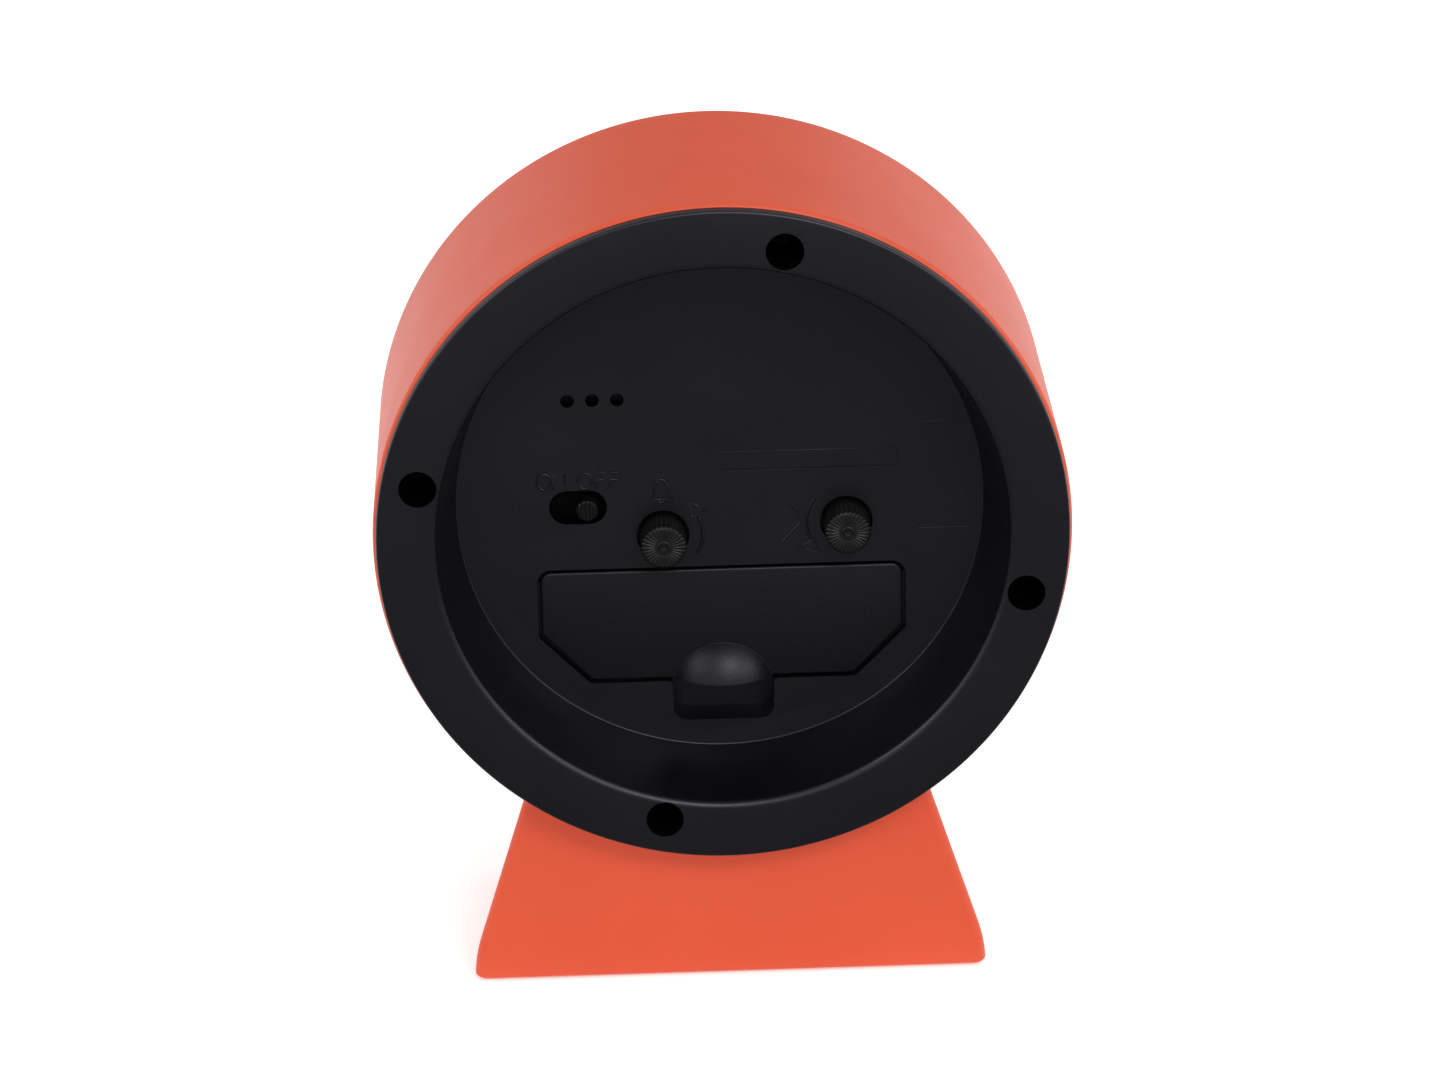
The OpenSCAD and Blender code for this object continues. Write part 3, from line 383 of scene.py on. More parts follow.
addFinishes({
    "orange": mouldedPlastic("orange paint", orangeShade["dark"], orangeShade["light"], orangeShade["rough"],
                             3200, 0.012, 0.45),
    "black": mouldedPlastic("black plastic", blackShade["dark"], blackShade["light"], blackShade["rough"],
                            2600, 0.035, 0.52, strength=0.6),
    # painted shade: a near-black, almost unreflective finish laid on the narrow holes, the door pins and the switch
    # plate in place of the shade inside them
    "paintedShadeBlack": mouldedPlastic("painted shade black", (0.0008, 0.0008, 0.0009), (0.0012, 0.0012, 0.0014),
                                (0.6, 0.7), 2400, 0.02, 0.03),
    "darkSteel": metalFinish("blackened steel", (0.008, 0.008, 0.009), (0.02, 0.02, 0.022), (0.4, 0.5)),
    "movement": mouldedPlastic("movement plastic", (0.008, 0.008, 0.009), (0.012, 0.012, 0.013), (0.4, 0.5),
                               1800, 0.02, 0.4),
    "domeBlack": mouldedPlastic("door black plastic", blackShade["dark"], blackShade["light"], (0.36, 0.47),
                                2200, 0.045, 0.4, strength=0.7),
    "knob": mouldedPlastic("knob plastic", (0.003, 0.003, 0.0034), (0.0045, 0.0045, 0.005), (0.36, 0.46),
                           2400, 0.012, 0.3),
    "rubber": mouldedPlastic("pad rubber", (0.012, 0.012, 0.012), (0.022, 0.022, 0.022), (0.7, 0.85), 1500, 0.06),
    "clear": clearPlastic("lens plastic"),
    "cream": mouldedPlastic("dial paper", (0.74, 0.71, 0.63), (0.79, 0.76, 0.68), (0.55, 0.65), 1800, 0.01, 0.35),
    "pale": mouldedPlastic("pale nylon", (0.62, 0.62, 0.6), (0.7, 0.7, 0.68), (0.35, 0.45), 1600, 0.015),
    "green": mouldedPlastic("board lacquer", (0.01, 0.09, 0.035), (0.02, 0.14, 0.05), (0.25, 0.4), 900, 0.02),
    "steel": metalFinish("plated steel", (0.42, 0.42, 0.44), (0.6, 0.6, 0.62), (0.22, 0.34)),
    "brass": metalFinish("contact brass", (0.5, 0.33, 0.12), (0.7, 0.5, 0.2), (0.25, 0.36)),
    "copper": woundWire("coil wire"),
    "battery": batteryJacket("battery jacket"),
    "ink": mouldedPlastic("dial ink", (0.012, 0.012, 0.013), (0.02, 0.02, 0.02), (0.45, 0.55), 1600, 0.005, 0.3),
    "handBlack": mouldedPlastic("hand lacquer", (0.01, 0.01, 0.011), (0.016, 0.016, 0.016), (0.3, 0.4), 1600, 0.006),
    "handOrange": mouldedPlastic("hand orange", (0.7, 0.1, 0.04), (0.76, 0.115, 0.05), (0.3, 0.4), 1600, 0.006),
})
for finish, tint in (("black", blackShade["tint"]), ("domeBlack", (0.9, 0.9, 0.98))):
    shader = finishes[finish].node_tree.nodes["Principled BSDF"]
    shader.inputs["Specular Tint"].default_value = (*tint, 1)
print("finishes made:", len(finishes))

# ---------- drum case ----------

drum = {"wall": 2.2, "bezelWidth": 12.6, "bezelDepth": 2.5, "frontRound": 1.6, "rearRound": 0.8,
        "holeRound": 1.0, "seatWall": 1.6, "rearGap": 1.9}


def makeDrumCase():
    front = -depth
    hole = drumR - drum["bezelWidth"]
    inside = drumR - drum["wall"]
    seat = hole + 2
    back = -drum["rearGap"]
    fr, rr, hr = drum["frontRound"], drum["rearRound"], drum["holeRound"]
    profile = arc(drumR - rr, back - rr, rr, 90, 0, 6)
    profile += [(drumR, back - 2), (drumR, front + fr + 2)]
    profile += arc(drumR - fr, front + fr, fr, 0, -90, 8)
    profile += arc(hole + hr, front + hr, hr, -90, -180, 6)
    profile += [(hole, front + drum["bezelDepth"]), (seat, front + drum["bezelDepth"])]
    profile += [(seat, front + 12.9), (seat + drum["seatWall"], front + 12.9)]
    profile += [(seat + drum["seatWall"], front + drum["bezelDepth"]), (inside, front + drum["bezelDepth"])]
    profile += [(inside, back)]
    piece = turned("drum_shell", profile, segments=256)
    smoothShade(piece, 30)
    finishPiece(piece, finishes["orange"], replaced=["drum_case"])


makeDrumCase()
print("drum case made")

# ---------- foot ----------

foot = {"width": 88.2, "depth": 44.8, "sideLean": 17.5, "faceLean": 6.5, "sideTurn": 8.0, "sideFlare": 25.0,
        "faceFlare": 60.0, "corner": 1.5, "lowEdge": 1.2, "wall": 2.4, "drumGap": 0.05, "above": 0.3}


def halfAt(half, lean, flare, z):
    turnZ = flare * math.sin(math.radians(lean))
    if z < turnZ:
        return half - flare + math.sqrt(flare * flare - z * z)
    atTurn = half - flare * (1 - math.cos(math.radians(lean)))
    return atTurn - (z - turnZ) * math.tan(math.radians(lean))


def footLoop(z, inset, corner):
    hy = halfAt(foot["depth"] / 2, foot["faceLean"], foot["faceFlare"], max(z, 0)) - inset
    side = halfAt(foot["width"] / 2, foot["sideLean"], foot["sideFlare"], max(z, 0)) - inset
    turn = math.tan(math.radians(foot["sideTurn"]))
    rearHalf = side - (foot["depth"] / 2 - hy) * turn
    frontHalf = side - (foot["depth"] / 2 + hy) * turn
    plan = roundedOutline([(rearHalf, hy), (-rearHalf, hy), (-frontHalf, -hy), (frontHalf, -hy)], [corner] * 4, 8)
    return [Vector((x * mm, y * mm, (z + foot["above"]) * mm)) for x, y in plan]


def footBlock(name, levels, corner):
    verts, faces = [], []
    for z, inset in levels:
        verts += footLoop(z, inset, corner)
    count = len(verts) // len(levels)
    faces.append(list(range(count)))
    faces.append(list(range(len(verts) - count, len(verts))))
    for k in range(len(levels) - 1):
        for i in range(count):
            j = (i + 1) % count
            faces.append([k * count + i, k * count + j, (k + 1) * count + j, (k + 1) * count + i])
    return meshObject(name, verts, faces)


def makeFoot():
    low = foot["lowEdge"]
    levels = [(low - low * math.sin(math.radians(18 * i)), low - low * math.cos(math.radians(18 * i)))
              for i in range(5, -1, -1)]
    levels += [(low + (48 - low) * i / 48, 0) for i in range(1, 49)]
    piece = footBlock("foot_shell", levels, foot["corner"])
    cylinder = turned("drum cutter", [(0, 10), (drumR + foot["drumGap"], 10),
                                      (drumR + foot["drumGap"], -depth - 10), (0, -depth - 10)], segments=256)
    hollow = footBlock("hollow cutter", [(-2, foot["wall"]), (4, foot["wall"]), (16, foot["wall"])], 0.8)
    combine(piece, [cylinder, hollow], "DIFFERENCE")
    smoothShade(piece, 40)
    finishPiece(piece, finishes["orange"], replaced=["foot"])


makeFoot()
print("foot made")

# ---------- rear cover ----------

cover = {"rim": 57.45, "mouth": 47.4, "floor": 44.5, "deep": 17.6, "wall": 2.0, "rimDepth": 1.9, "mouthRound": 1.2,
         "rimRound": 0.5, "footRound": 0.3, "wellCircle": 51.33, "wellR": 3.15, "wellWall": 0.75, "wellDepth": 14.0,
         "wellAngle": 77.85, "spigot": 55.65}
door = {"half": 30.66, "top": -11.93, "low": -31.84, "corner": 8.74, "lowHalf": 22.25, "gap": 0.55,
        "thick": 1.9, "topRound": 1.9, "lowRound": 1.0, "edge": 0.42}
pocket = {"width": 17.2, "height": 6.7, "deep": 6.0, "round": 2.4, "flare": 0.9}
slot = {"at": (-23.9, -0.1), "length": 9.75, "height": 6.05}
soundHoles = {"at": [(-25.2, 19), (-21.05, 19), (-16.9, 19)], "r": 1.15}
panel = {"u": (0.2, 30.0), "v": (5.7, 9.1), "deep": 0.2}
insert = {"u": (33.4, 42.6), "v": (-5.6, 13.6), "bead": 0.07}
bay = {"half": 28.5, "top": -13.4, "low": -28.6, "floor": -35.1, "wall": 1.3}
floorW = -cover["deep"]
floorIn = floorW - cover["wall"]
alarmAt = nodeCentre("alarm_knob")
timeAt = nodeCentre("time_knob")
knobHole = 4.45


def doorOutline(grow, topRound, lowRound, steps=8):
    side = door["half"] + grow
    low = door["low"] - grow
    lowHalf = door["lowHalf"] + grow * 0.6
    corners = [(-side, door["top"] + grow), (-side, low + door["corner"]), (-lowHalf, low),
               (lowHalf, low), (side, low + door["corner"]), (side, door["top"] + grow)]
    return roundedOutline(corners, [topRound, lowRound, lowRound, lowRound, lowRound, topRound], steps)


def pocketOutline():
    top = door["low"] - door["gap"] + 0.3
    bottom = door["low"] - door["gap"] - 0.6 - pocket["height"]
    half, r, f = pocket["width"] / 2, pocket["round"], pocket["flare"]
    lip = door["low"] - door["gap"]
    points = [(-half - f, top), (-half - f, lip)]
    points += arc(-half - f, lip - f, f, 90, 0, 6)
    points += arc(-half + r, bottom + r, r, 180, 270, 8)
    points += arc(half - r, bottom + r, r, 270, 360, 8)
    points += arc(half + f, lip - f, f, 180, 90, 6)
    points += [(half + f, top)]
    return points


def makeRearCover():
    c = cover
    profile = [(0, floorW)] + arc(c["floor"] - c["footRound"], floorW + c["footRound"], c["footRound"], -90, -8, 6)
    profile += arc(c["mouth"] + c["mouthRound"], -c["mouthRound"], c["mouthRound"], 180, 90, 8)
    profile += arc(c["rim"] - c["rimRound"], -c["rimRound"], c["rimRound"], 90, 0, 6)
    profile += [(c["rim"], -c["rimDepth"]), (c["spigot"], -c["rimDepth"]), (c["spigot"], -c["rimDepth"] - 5)]
    profile += [(c["spigot"] - 2, -c["rimDepth"] - 5), (c["spigot"] - 2, -c["rimDepth"])]
    profile += [(c["mouth"] + c["wall"], -c["rimDepth"]), (c["floor"] + c["wall"], floorIn), (0, floorIn)]
    piece = turned("rear_cover_shell", profile, segments=240)
    added = [slab("bay", -bay["half"] - bay["wall"], bay["half"] + bay["wall"], bay["low"] - bay["wall"],
                  bay["top"] + bay["wall"], bay["floor"] - bay["wall"], floorIn + 0.5),
             slab("ledge", -32.4, 32.4, door["low"] - 1.6, door["top"] + 1.2, floorIn - 1.6, floorIn + 0.5),
             prism("pocket wall", [(u * 1.16, -36.6 + (v + 36.6) * 1.3) for u, v in pocketOutline()],
                   floorW - pocket["deep"] - 1.6, floorIn + 0.5)]
    wells, cuts = [], []
    for i in range(4):
        at = polar(c["wellCircle"], c["wellAngle"] + 90 * i)
        wells.append(rod("well wall", at, c["wellR"] + c["wellWall"], -1.0, -c["wellDepth"] - 2, 64))
        cuts.append(rod("well", at, c["wellR"], 1, -c["wellDepth"], 64))
    combine(piece, added + wells, "UNION")
    cuts.append(prism("door opening", doorOutline(door["gap"], door["topRound"] + door["gap"], 1.2),
                      floorIn + 0.01, 1))
    cuts.append(slab("bay inside", -bay["half"], bay["half"], bay["low"], bay["top"], bay["floor"], floorIn - 1.6))
    cuts.append(prism("bay mouth", doorOutline(-1.8, 0.4, 0.4), floorIn - 1.7, floorIn + 0.1))
    cuts.append(prism("pocket", pocketOutline(), floorW - pocket["deep"], 1))
    for at in (alarmAt, timeAt):
        cuts.append(rod("knob hole", at, knobHole, floorIn - 3, 1, 96))
    for at in soundHoles["at"]:
        cuts.append(rod("sound hole", at, soundHoles["r"], floorIn - 1, 1, 40))
    half, r = slot["length"] / 2, slot["height"] / 2
    su, sv = slot["at"]
    cuts.append(prism("slot", arc(su + half - r, sv, r, -90, 90, 20) + arc(su - half + r, sv, r, 90, 270, 20),
                      floorIn - 1, 1))
    cuts.append(slab("panel", *panel["u"], *panel["v"], floorW - panel["deep"], 1))
    for side in (-1, 1):
        cuts.append(crossRod("pin socket", side * 30, side * 32.2, door["top"] - 0.97, floorW - 0.95, 0.78))
    combine(piece, cuts, "DIFFERENCE")
    fixNormals(piece)
    smoothShade(piece, 30)
    softEdges(piece, 0.16, 3, 40)
    finishPiece(piece, finishes["black"], replaced=["rear_cover"])
    piece.data.materials.append(finishes["paintedShadeBlack"])  # painted shade: the walls of the narrow holes get the near-black shade finish, as the light hardly reaches into them
    holes = [(polar(c["wellCircle"], c["wellAngle"] + 90 * i), c["wellR"], -0.5, -c["wellDepth"]) for i in range(4)]
    holes += [(at, knobHole, floorW - 0.3, floorIn) for at in (alarmAt, timeAt)]
    holes += [(at, soundHoles["r"], floorW - 0.2, floorIn) for at in soundHoles["at"]]
    holes.append((slot["at"], slot["length"] / 2, floorW - 0.3, floorIn))
    for at, r, top, bottom in holes:
        middle = rear(*at)
        for face in piece.data.polygons:
            spot = face.center
            if not rear(0, 0, bottom - 0.1).y < spot.y < rear(0, 0, top).y:
                continue
            if math.hypot(spot.x - middle.x, spot.z - middle.z) < (r + 0.03) * mm:
                face.material_index = 1


makeRearCover()
print("rear cover made")

# ---------- battery door ----------

dome = {"reach": 2.4, "sink": 6.6, "r": 10.87, "edge": 0.3, "rib": 0.13}


def makeDome():
    bm = bmesh.new()
    bmesh.ops.create_uvsphere(bm, u_segments=128, v_segments=96, radius=dome["r"] * mm)
    centre = rear(0, door["low"] - dome["reach"], floorW - dome["sink"])
    bmesh.ops.translate(bm, verts=bm.verts, vec=centre)
    for at, normal in ((rear(0, door["low"]), (0, 0, -1)), (rear(0, 0, floorW - 1), (0, -1, 0))):
        whole = bm.verts[:] + bm.edges[:] + bm.faces[:]
        cut = bmesh.ops.bisect_plane(bm, geom=whole, plane_co=at, plane_no=normal, clear_outer=True)
        edges = [e for e in cut["geom_cut"] if isinstance(e, bmesh.types.BMEdge)]
        bmesh.ops.contextual_create(bm, geom=edges)
    bmesh.ops.recalc_face_normals(bm, faces=bm.faces)
    mesh = bpy.data.meshes.new("dome")
    bm.to_mesh(mesh)
    bm.free()
    piece = bpy.data.objects.new("dome", mesh)
    bpy.context.scene.collection.objects.link(piece)
    softEdges(piece, dome["edge"], 4, 50)
    bakeModifiers(piece)
    return piece


def tube(name, points, radius, sides=8):
    verts, faces = [], []
    for i, point in enumerate(points):
        along = (points[min(i + 1, len(points) - 1)] - points[max(i - 1, 0)]).normalized()
        out = Vector((0, 1, 0))
        across = along.cross(out)
        for k in range(sides):
            turn = math.tau * k / sides
            verts.append(point + (out * math.sin(turn) + across * math.cos(turn)) * radius)
    for i in range(len(points) - 1):
        for k in range(sides):
            a, b = i * sides + k, i * sides + (k + 1) % sides
            faces.append((a, b, b + sides, a + sides))
    faces += [tuple(range(sides)), tuple(len(verts) - 1 - k for k in range(sides))]
    return meshObject(name, verts, faces)


def makeBatteryDoor():
    piece = prism("battery_door_shell", doorOutline(0, door["topRound"], door["lowRound"]),
                  floorW - door["thick"], floorW)
    softEdges(piece, door["edge"], 4, 40)
    bakeModifiers(piece)
    tongue = slab("tongue", -4, 4, door["low"] + 0.8, door["low"] + 2, floorIn - 1.9, floorW - 1)
    pins = [crossRod("pin", side * 29.6, side * 31.8, door["top"] - 0.97, floorW - 0.95, 0.7) for side in (-1, 1)]
    reach = math.sqrt(dome["r"] ** 2 - dome["sink"] ** 2)  # a fine rib runs where the dome meets the door
    side = math.degrees(math.asin(dome["reach"] / reach))
    path = [(math.cos(math.radians(a)) * reach, math.sin(math.radians(a)) * reach)
            for a in [side + 1 + (178 - 2 * side) * i / 64 for i in range(65)]]
    rib = tube("dome rib", [rear(u, door["low"] - dome["reach"] + v, floorW) for u, v in path], dome["rib"] * mm)
    joinPieces(piece, [makeDome(), tongue, rib] + pins)
    smoothShade(piece, 35)
    finishPiece(piece, finishes["domeBlack"], "battery_door", ["battery_door"])
    piece.data.materials.append(finishes["paintedShadeBlack"])  # painted shade: the pins get the near-black shade finish, as they lie in the shade of the gap
    for face in piece.data.polygons:
        if abs(face.center.x) > (door["half"] + 0.02) * mm:
            face.material_index = 1


makeBatteryDoor()
print("battery door made")

# ---------- setting knobs ----------

knob = {"r": 3.82, "ribs": 30, "ribDepth": 0.22, "rayDepth": 0.12, "disc": 1.5, "length": 8.4}


def makeKnob(name, at, top, node, body):
    r, bottom = knob["r"], top - knob["length"]
    profile = [(0, bottom), (r, bottom), (r, top - 0.75), (r - 0.12, top - 0.32), (r - 0.45, top - 0.06),
               (r - 0.8, top), (2.4, top), (knob["disc"] + 0.1, top - 0.02), (knob["disc"], top - 0.1),
               (knob["disc"] - 0.08, top - 0.12), (1.15, top - 0.12), (1.08, top - 0.1), (1.0, top - 0.04),
               (0.9, top - 0.04), (0.82, top - 0.12), (0.66, top - 0.42), (0.4, top - 0.52), (0, top - 0.54)]
    ribbed = {2: 1, 3: 1, 4: 0.9, 5: 0.5}
    rayed = {4: 0.2, 5: 0.9, 6: 1, 7: 1}

    def rib(degrees):
        return 0.5 + 0.5 * math.cos(math.radians(degrees * knob["ribs"]))

    def radiusAt(k, degrees):
        return (rib(degrees) - 0.6) * knob["ribDepth"] * ribbed.get(k, 0)

    def depthAt(k, degrees):
        return (rib(degrees) - 1) * knob["rayDepth"] * rayed.get(k, 0)

    piece = turned(name, profile, at, knob["ribs"] * 8, radiusAt, depthAt)
    smoothShade(piece, 24)
    finishPiece(piece, finishes["knob"], body, [node])


makeKnob("alarm_knob_cap", alarmAt, nodeTop("alarm_knob"), "alarm_knob", "alarm_knob")
makeKnob("time_knob_cap", timeAt, nodeTop("time_knob"), "time_knob", "time_knob")
print("knobs made")

# ---------- alarm switch ----------

switch = {"button": 1.78, "ridges": 5, "ridgeDepth": 0.3, "plateEdge": 0.2}


def makeSwitch():
    low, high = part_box("alarm_switch_slider")
    u0, u1 = -high.x / mm, -low.x / mm
    v0, v1 = (low.z - axisZ) / mm, (high.z - axisZ) / mm
    top = (high.y - rearY) / mm
    bottom = (low.y - rearY) / mm
    piece = slab("alarm_switch", u0, u1, v0, v1, bottom, bottom + 1.1)
    softEdges(piece, switch["plateEdge"], 2, 40)
    bakeModifiers(piece)
    cu, cv, r = (u0 + u1) / 2, (v0 + v1) / 2, switch["button"]
    across, along = 61, 25
    verts, faces = [], []
    for i in range(across):
        x = -r + 2 * r * i / (across - 1)
        half = math.sqrt(max(r * r - x * x, 0.0004))
        ridge = (0.5 - 0.5 * math.cos(2 * math.pi * switch["ridges"] * (i / (across - 1)))) * switch["ridgeDepth"]
        for k in range(along):
            y = -half + 2 * half * k / (along - 1)
            edge = max(0.0, math.hypot(x, y) / r - 0.86) * 1.2
            verts.append(rear(cu + x, cv + y, top - switch["ridgeDepth"] + ridge - edge))
    for i in range(across - 1):
        for k in range(along - 1):
            a = i * along + k
            faces.append([a, a + 1, a + along + 1, a + along])
    cap = meshObject("button cap", verts, faces)
    stem = rod("button stem", (cu, cv), r, bottom + 0.8, top - switch["ridgeDepth"] - 0.1, 64)
    joinPieces(piece, [cap, stem])
    smoothShade(piece, 60)
    finishPiece(piece, finishes["knob"], "alarm_switch", ["alarm_switch_slider"])
    piece.data.materials.append(finishes["paintedShadeBlack"])  # painted shade: the plate gets the near-black shade finish, as it lies in the shade of the slot
    for face in piece.data.polygons:
        if face.center.y < rear(0, 0, bottom + 1.15).y:
            face.material_index = 1


makeSwitch()
print("alarm switch made")

# ---------- raised marks on the floor of the recess ----------

marks = {"bead": 0.21, "sink": 0.0, "arcBead": 0.29, "arcSink": 0.08, "frameBead": 0.1, "letterHeight": 2.8,
         "letterBase": 3.25, "arrowR": 6.75}


def bead(name, strokes, radius=None, sink=None):
    curve = bpy.data.curves.new(name, "CURVE")
    curve.dimensions = "3D"
    curve.bevel_depth = (radius or marks["bead"]) * mm
    curve.bevel_resolution = 3
    curve.use_fill_caps = True
    for stroke, closed in strokes:
        line = curve.splines.new("POLY")
        line.points.add(len(stroke) - 1)
        line.use_cyclic_u = closed
        for point, (u, v) in zip(line.points, stroke):
            point.co = (*rear(u, v, floorW - (marks["sink"] if sink is None else sink)), 1)
    piece = bpy.data.objects.new(name, curve)
    bpy.context.scene.collection.objects.link(piece)
    curve.materials.append(finishes["black"])
    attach(piece, "clock")


def oval(u, v, w, h):
    return [(u + w / 2 * math.cos(a), v + h / 2 * math.sin(a)) for a in [math.tau * i / 28 for i in range(28)]]


def makeWords():
    h, base = marks["letterHeight"], marks["letterBase"]
    mid = base + h / 2
    letterN = [(-27.9, base), (-27.9, base + h), (-26.0, base), (-26.0, base + h)]
    bead("mark_on", [(oval(-29.5, mid, 2.3, h), True), (letterN, False)])
    strokes = [(oval(-22.6, mid, 2.3, h), True)]
    for u in (-20.7, -18.4):
        strokes.append(([(u, base), (u, base + h), (u + 1.5, base + h)], False))
        strokes.append(([(u, mid + 0.1), (u + 1.2, mid + 0.1)], False))
    bead("mark_off", strokes)


def makeBell():
    u, v = -9.85, 0.55
    left = [(-1.95, 0.35), (-1.35, 1.0), (-1.15, 2.3), (-0.85, 3.3), (-0.4, 3.85), (0, 4.0)]
    outline = left + [(-x, y) for x, y in reversed(left[:-1])]
    clapper = [(-0.55, 0.15), (-0.3, -0.15), (0, -0.22), (0.3, -0.15), (0.55, 0.15)]
    bead("mark_bell", [([(u + x, v + y) for x, y in outline], True), ([(u + x, v + y) for x, y in clapper], False)])


def makeArrow(name, centre, start, end, tip):
    path = arc(centre[0], centre[1], marks["arrowR"], start, end, 18)
    bead(name + "_arc", [(path, False)], marks["arcBead"], marks["arcSink"])
    bead(name + "_head", [(tip, True)])


makeWords()
makeBell()
makeArrow("mark_alarm_arrow", alarmAt, -32, 28, [(-5.05, 0.3), (-2.3, -1.25), (-4.95, -2.5)])
makeArrow("mark_time_arrow", timeAt, 142, 212, [(13.2, -8.4), (15.9, -6.9), (16.4, -9.5)])
(p0, p1), (q0, q1) = panel["u"], panel["v"]
bead("label_frame", [([(p0, q0), (p1, q0), (p1, q1), (p0, q1)], True)], marks["frameBead"], 0.02)
i0, i1 = insert["u"]
bead("insert_lines", [([(i0, v), (i1, v)], False) for v in insert["v"]], insert["bead"], 0.01)
bead("mark_hands", [([(11.8, -0.2), (13.6, -3.0)], False), ([(13.6, -3.9), (10.5, -7.3)], False)])
print("raised marks made")

# ---------- dial print ----------

dialPrint = {"numeralR": 33.5, "numeralSize": 8.6, "trackR": 42.2, "longMark": 3.4, "shortMark": 1.6, "thick": 0.05}


def makeDialPrint():
    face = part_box("dial")[0].y
    verts, faces = [], []
    for i in range(60):
        big = i % 5 == 0
        length = dialPrint["longMark"] if big else dialPrint["shortMark"]
        width = 0.9 if big else 0.32
        a = math.radians(90 - 6 * i)
        along = Vector((math.cos(a), 0, math.sin(a)))
        across = Vector((-math.sin(a), 0, math.cos(a)))
        first = len(verts)
        for y in (0, -dialPrint["thick"]):
            for r, s in ((0, -1), (0, 1), (-length, 1), (-length, -1)):
                at = along * (dialPrint["trackR"] + r) + across * (s * width / 2)
                verts.append(Vector((at.x * mm, face + y * mm, axisZ + at.z * mm)))
        faces += [[first + k for k in f] for f in
                  ([0, 1, 2, 3], [4, 5, 6, 7], [0, 1, 5, 4], [1, 2, 6, 5], [2, 3, 7, 6], [3, 0, 4, 7])]
    piece = meshObject("dial_minute_marks", verts, faces)
    finishPiece(piece, finishes["ink"])
    for hour in range(1, 13):
        text = bpy.data.curves.new("dial_numeral_" + str(hour), "FONT")
        text.body = str(hour)
        text.size = dialPrint["numeralSize"] * mm
        text.align_x = "CENTER"
        text.align_y = "CENTER"
        text.extrude = dialPrint["thick"] * mm / 2
        numeral = bpy.data.objects.new("dial_numeral_" + str(hour), text)
        bpy.context.scene.collection.objects.link(numeral)
        x, z = polar(dialPrint["numeralR"], 90 - 30 * hour)
        numeral.matrix_world = (Matrix.Translation((x * mm, face - dialPrint["thick"] * mm / 2, axisZ + z * mm))
                                @ Matrix.Rotation(math.radians(90), 4, "X"))
        text.materials.append(finishes["ink"])
        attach(numeral, "clock")


makeDialPrint()
print("dial print made")

# ---------- finishes of the frame's own nodes ----------

nodeFinish = {
    "foot_base_plate": "black", "foot_pad": "rubber", "lens": "clear", "dial_spacer_ring": "cream", "dial": "cream",
    "dial_retaining_ring": "pale", "movement_rear_case": "movement", "movement_front_case": "movement",
    "gear_plate": "pale", "cover_screws": "darkSteel",
    "fifth_wheel": "pale", "seconds_wheel": "pale", "third_wheel": "pale", "centre_wheel": "pale",
    "cannon_pinion": "pale", "minute_wheel": "pale", "hour_wheel": "pale", "alarm_wheel": "pale",
    "alarm_set_gear": "pale", "time_set_gear": "pale", "rotor_pinion": "pale", "coil_bobbin": "green",
    "circuit_board": "green", "coil_winding": "copper", "switch_contacts": "brass", "battery": "battery",
    "hour_hand": "handBlack", "minute_hand": "handBlack", "second_hand": "handOrange", "alarm_hand": "handOrange",
    "buzzer": "black", "chip_cover": "black"}
for name, node in nodes.items():
    finish = finishes[nodeFinish.get(name, "steel")]
    if len(node.data.materials) == 0:
        node.data.materials.append(finish)
    for i in range(len(node.data.materials)):
        node.data.materials[i] = finish
print("node finishes set")

# ---------- floor, light and camera ----------

studio = {"floor": (0.95, 0.95, 0.95), "glow": 0.36, "world": 0.8, "key": 6.5, "side": 1.5, "top": 1.2,
          "sheen": 1.1, "card": 0.22}
view = {"azimuth": 1.6373, "elevation": 21.95, "roll": -1.1067, "at": (-23.578, 328.872, 817.123), "lens": 132.87}


def makeFloor():
    size = 6.0
    verts = [(-size, -size, 0), (size, -size, 0), (size, size, 0), (-size, size, 0)]
    plane = meshObject("studio_floor", verts, [[0, 1, 2, 3]])
    if plane.data.polygons[0].normal.z < 0:
        plane.data.flip_normals()
    material, tree, shader = newFinish("studio floor")
    shader.inputs["Base Color"].default_value = (*studio["floor"], 1)
    shader.inputs["Roughness"].default_value = 0.9
    shader.inputs["Specular IOR Level"].default_value = 0.1
    shader.inputs["Emission Color"].default_value = (1, 1, 1, 1)
    shader.inputs["Emission Strength"].default_value = studio["glow"]
    plane.data.materials.append(material)


# a dark card that only reflections see
def makeCard(name, corners):
    card = meshObject(name, corners, [[0, 1, 2, 3]])
    material, tree, shader = newFinish(name)
    shader.inputs["Base Color"].default_value = (studio["card"], studio["card"], studio["card"], 1)
    shader.inputs["Roughness"].default_value = 1
    shader.inputs["Specular IOR Level"].default_value = 0
    card.data.materials.append(material)
    card.visible_camera = False
    card.visible_diffuse = False
    card.visible_shadow = False
    card.visible_transmission = False


def areaLight(name, at, target, size, power, sheenOnly=False):
    light = bpy.data.lights.new(name, "AREA")
    light.shape = "RECTANGLE"
    light.size, light.size_y = size
    light.energy = power
    lamp = bpy.data.objects.new(name, light)
    bpy.context.scene.collection.objects.link(lamp)
    lamp.location = at
    lamp.visible_camera = False
    lamp.visible_diffuse = not sheenOnly
    lamp.rotation_euler = (Vector(target) - Vector(at)).to_track_quat("-Z", "Y").to_euler()


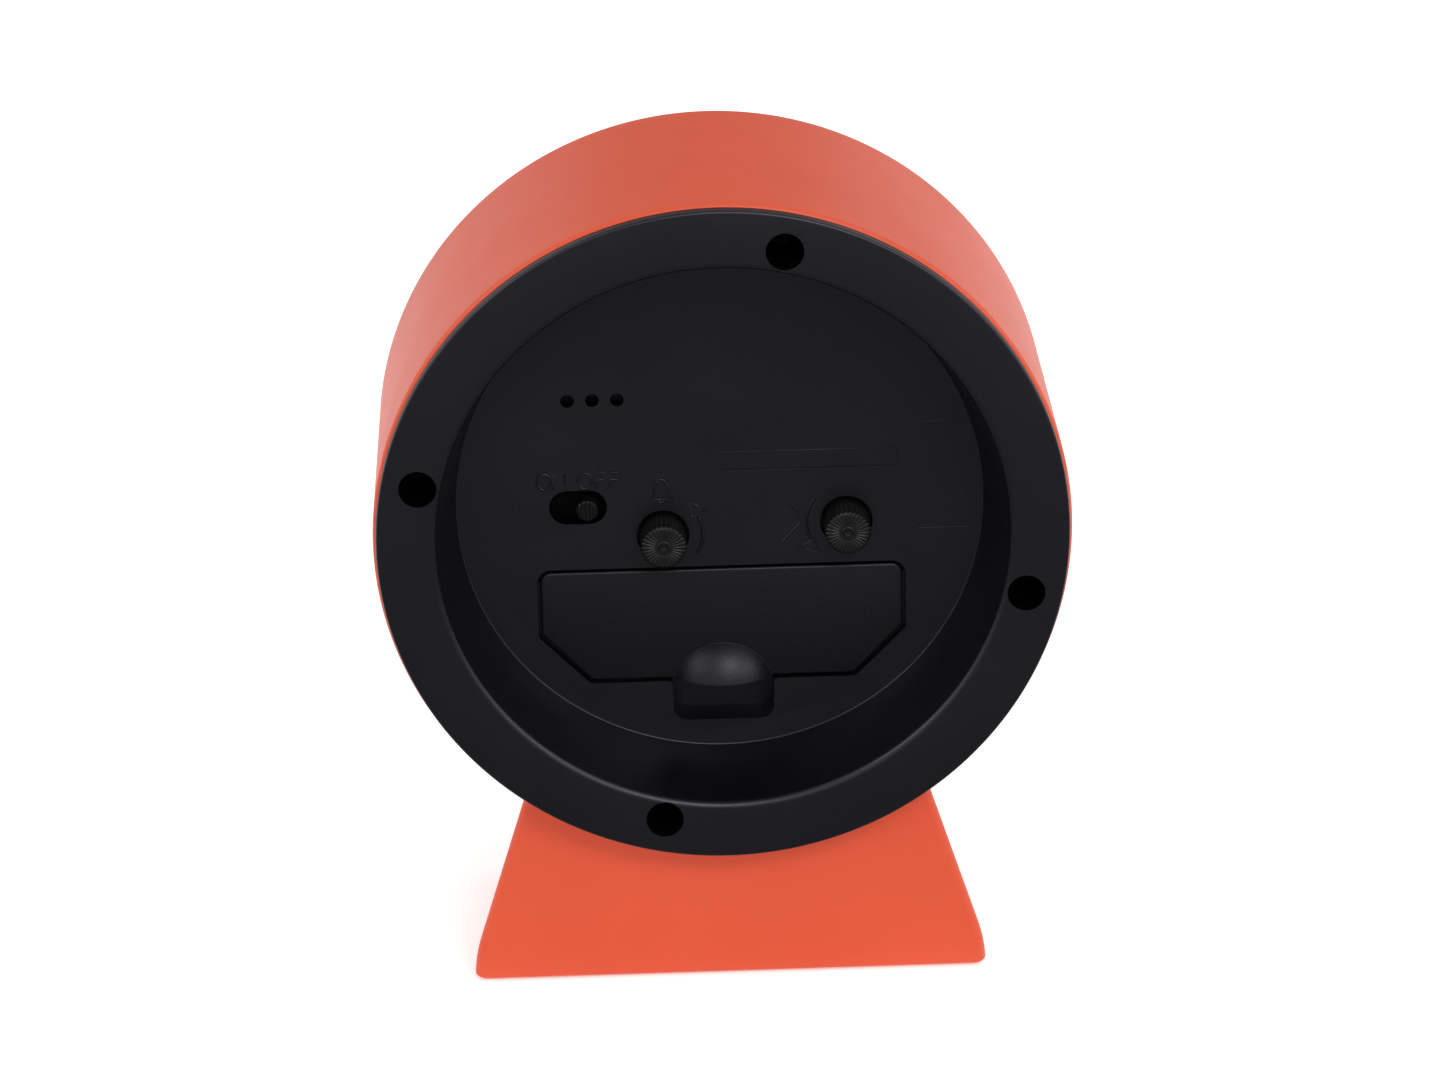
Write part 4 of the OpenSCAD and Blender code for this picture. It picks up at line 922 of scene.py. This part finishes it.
def makeCamera():
    az, el, roll = (math.radians(view[k]) for k in ("azimuth", "elevation", "roll"))
    back = Vector((math.sin(az) * math.cos(el), math.cos(az) * math.cos(el), math.sin(el)))
    right = Vector((0, 0, 1)).cross(back).normalized()
    up = back.cross(right)
    tiltedRight = right * math.cos(roll) + up * math.sin(roll)
    tiltedUp = up * math.cos(roll) - right * math.sin(roll)
    camera = bpy.data.objects.new("camera", bpy.data.cameras.new("camera"))
    bpy.context.scene.collection.objects.link(camera)
    camera.data.lens = view["lens"]
    camera.data.sensor_width = 36
    turn = Matrix((tiltedRight, tiltedUp, back)).transposed().to_4x4()
    camera.matrix_world = Matrix.Translation(rear(*view["at"])) @ turn
    bpy.context.scene.camera = camera


def makeWorld():
    world = bpy.data.worlds.new("studio")
    world.use_nodes = True
    shade = world.node_tree.nodes["Background"]
    shade.inputs["Color"].default_value = (1, 1, 1, 1)
    shade.inputs["Strength"].default_value = studio["world"]
    bpy.context.scene.world = world


makeFloor()
areaLight("key light", (-0.3, 1.1, 0.95), (0, 0, 0.05), (0.6, 0.4), studio["key"])
areaLight("left light", (1.2, 0.3, 0.6), (0, 0, 0.07), (0.7, 1.0), studio["side"])
areaLight("right light", (-1.2, 0.3, 0.6), (0, 0, 0.07), (0.7, 1.0), studio["side"])
areaLight("top light", (0, 0.1, 1.6), (0, 0, 0), (2.2, 2.2), studio["top"])
for side, azimuth, elevation in (("left", 56, 33), ("right", -51, 26)):
    a, e = math.radians(azimuth), math.radians(elevation)
    at = Vector((math.sin(a) * math.cos(e), math.cos(a) * math.cos(e), math.sin(e))) + Vector((0, 0, 0.05))
    areaLight(side + " sheen", at, (0, 0.01, 0.05), (0.3, 0.3), studio["sheen"], True)
makeCard("near card", [(-2, 0.03, 0.0006), (2, 0.03, 0.0006), (2, 2.5, 0.0006), (-2, 2.5, 0.0006)])
makeCard("over card", [(-0.35, -0.3, 1.0), (0.35, -0.3, 1.0), (0.35, 0.9, 1.0), (-0.35, 0.9, 1.0)])
makeCard("far card", [(-0.2, -0.6, 0.24), (0.2, -0.6, 0.24), (0.2, -0.6, 0.7), (-0.2, -0.6, 0.7)])
makeWorld()
makeCamera()
bpy.context.scene.view_settings.view_transform = "Standard"
print("studio made")
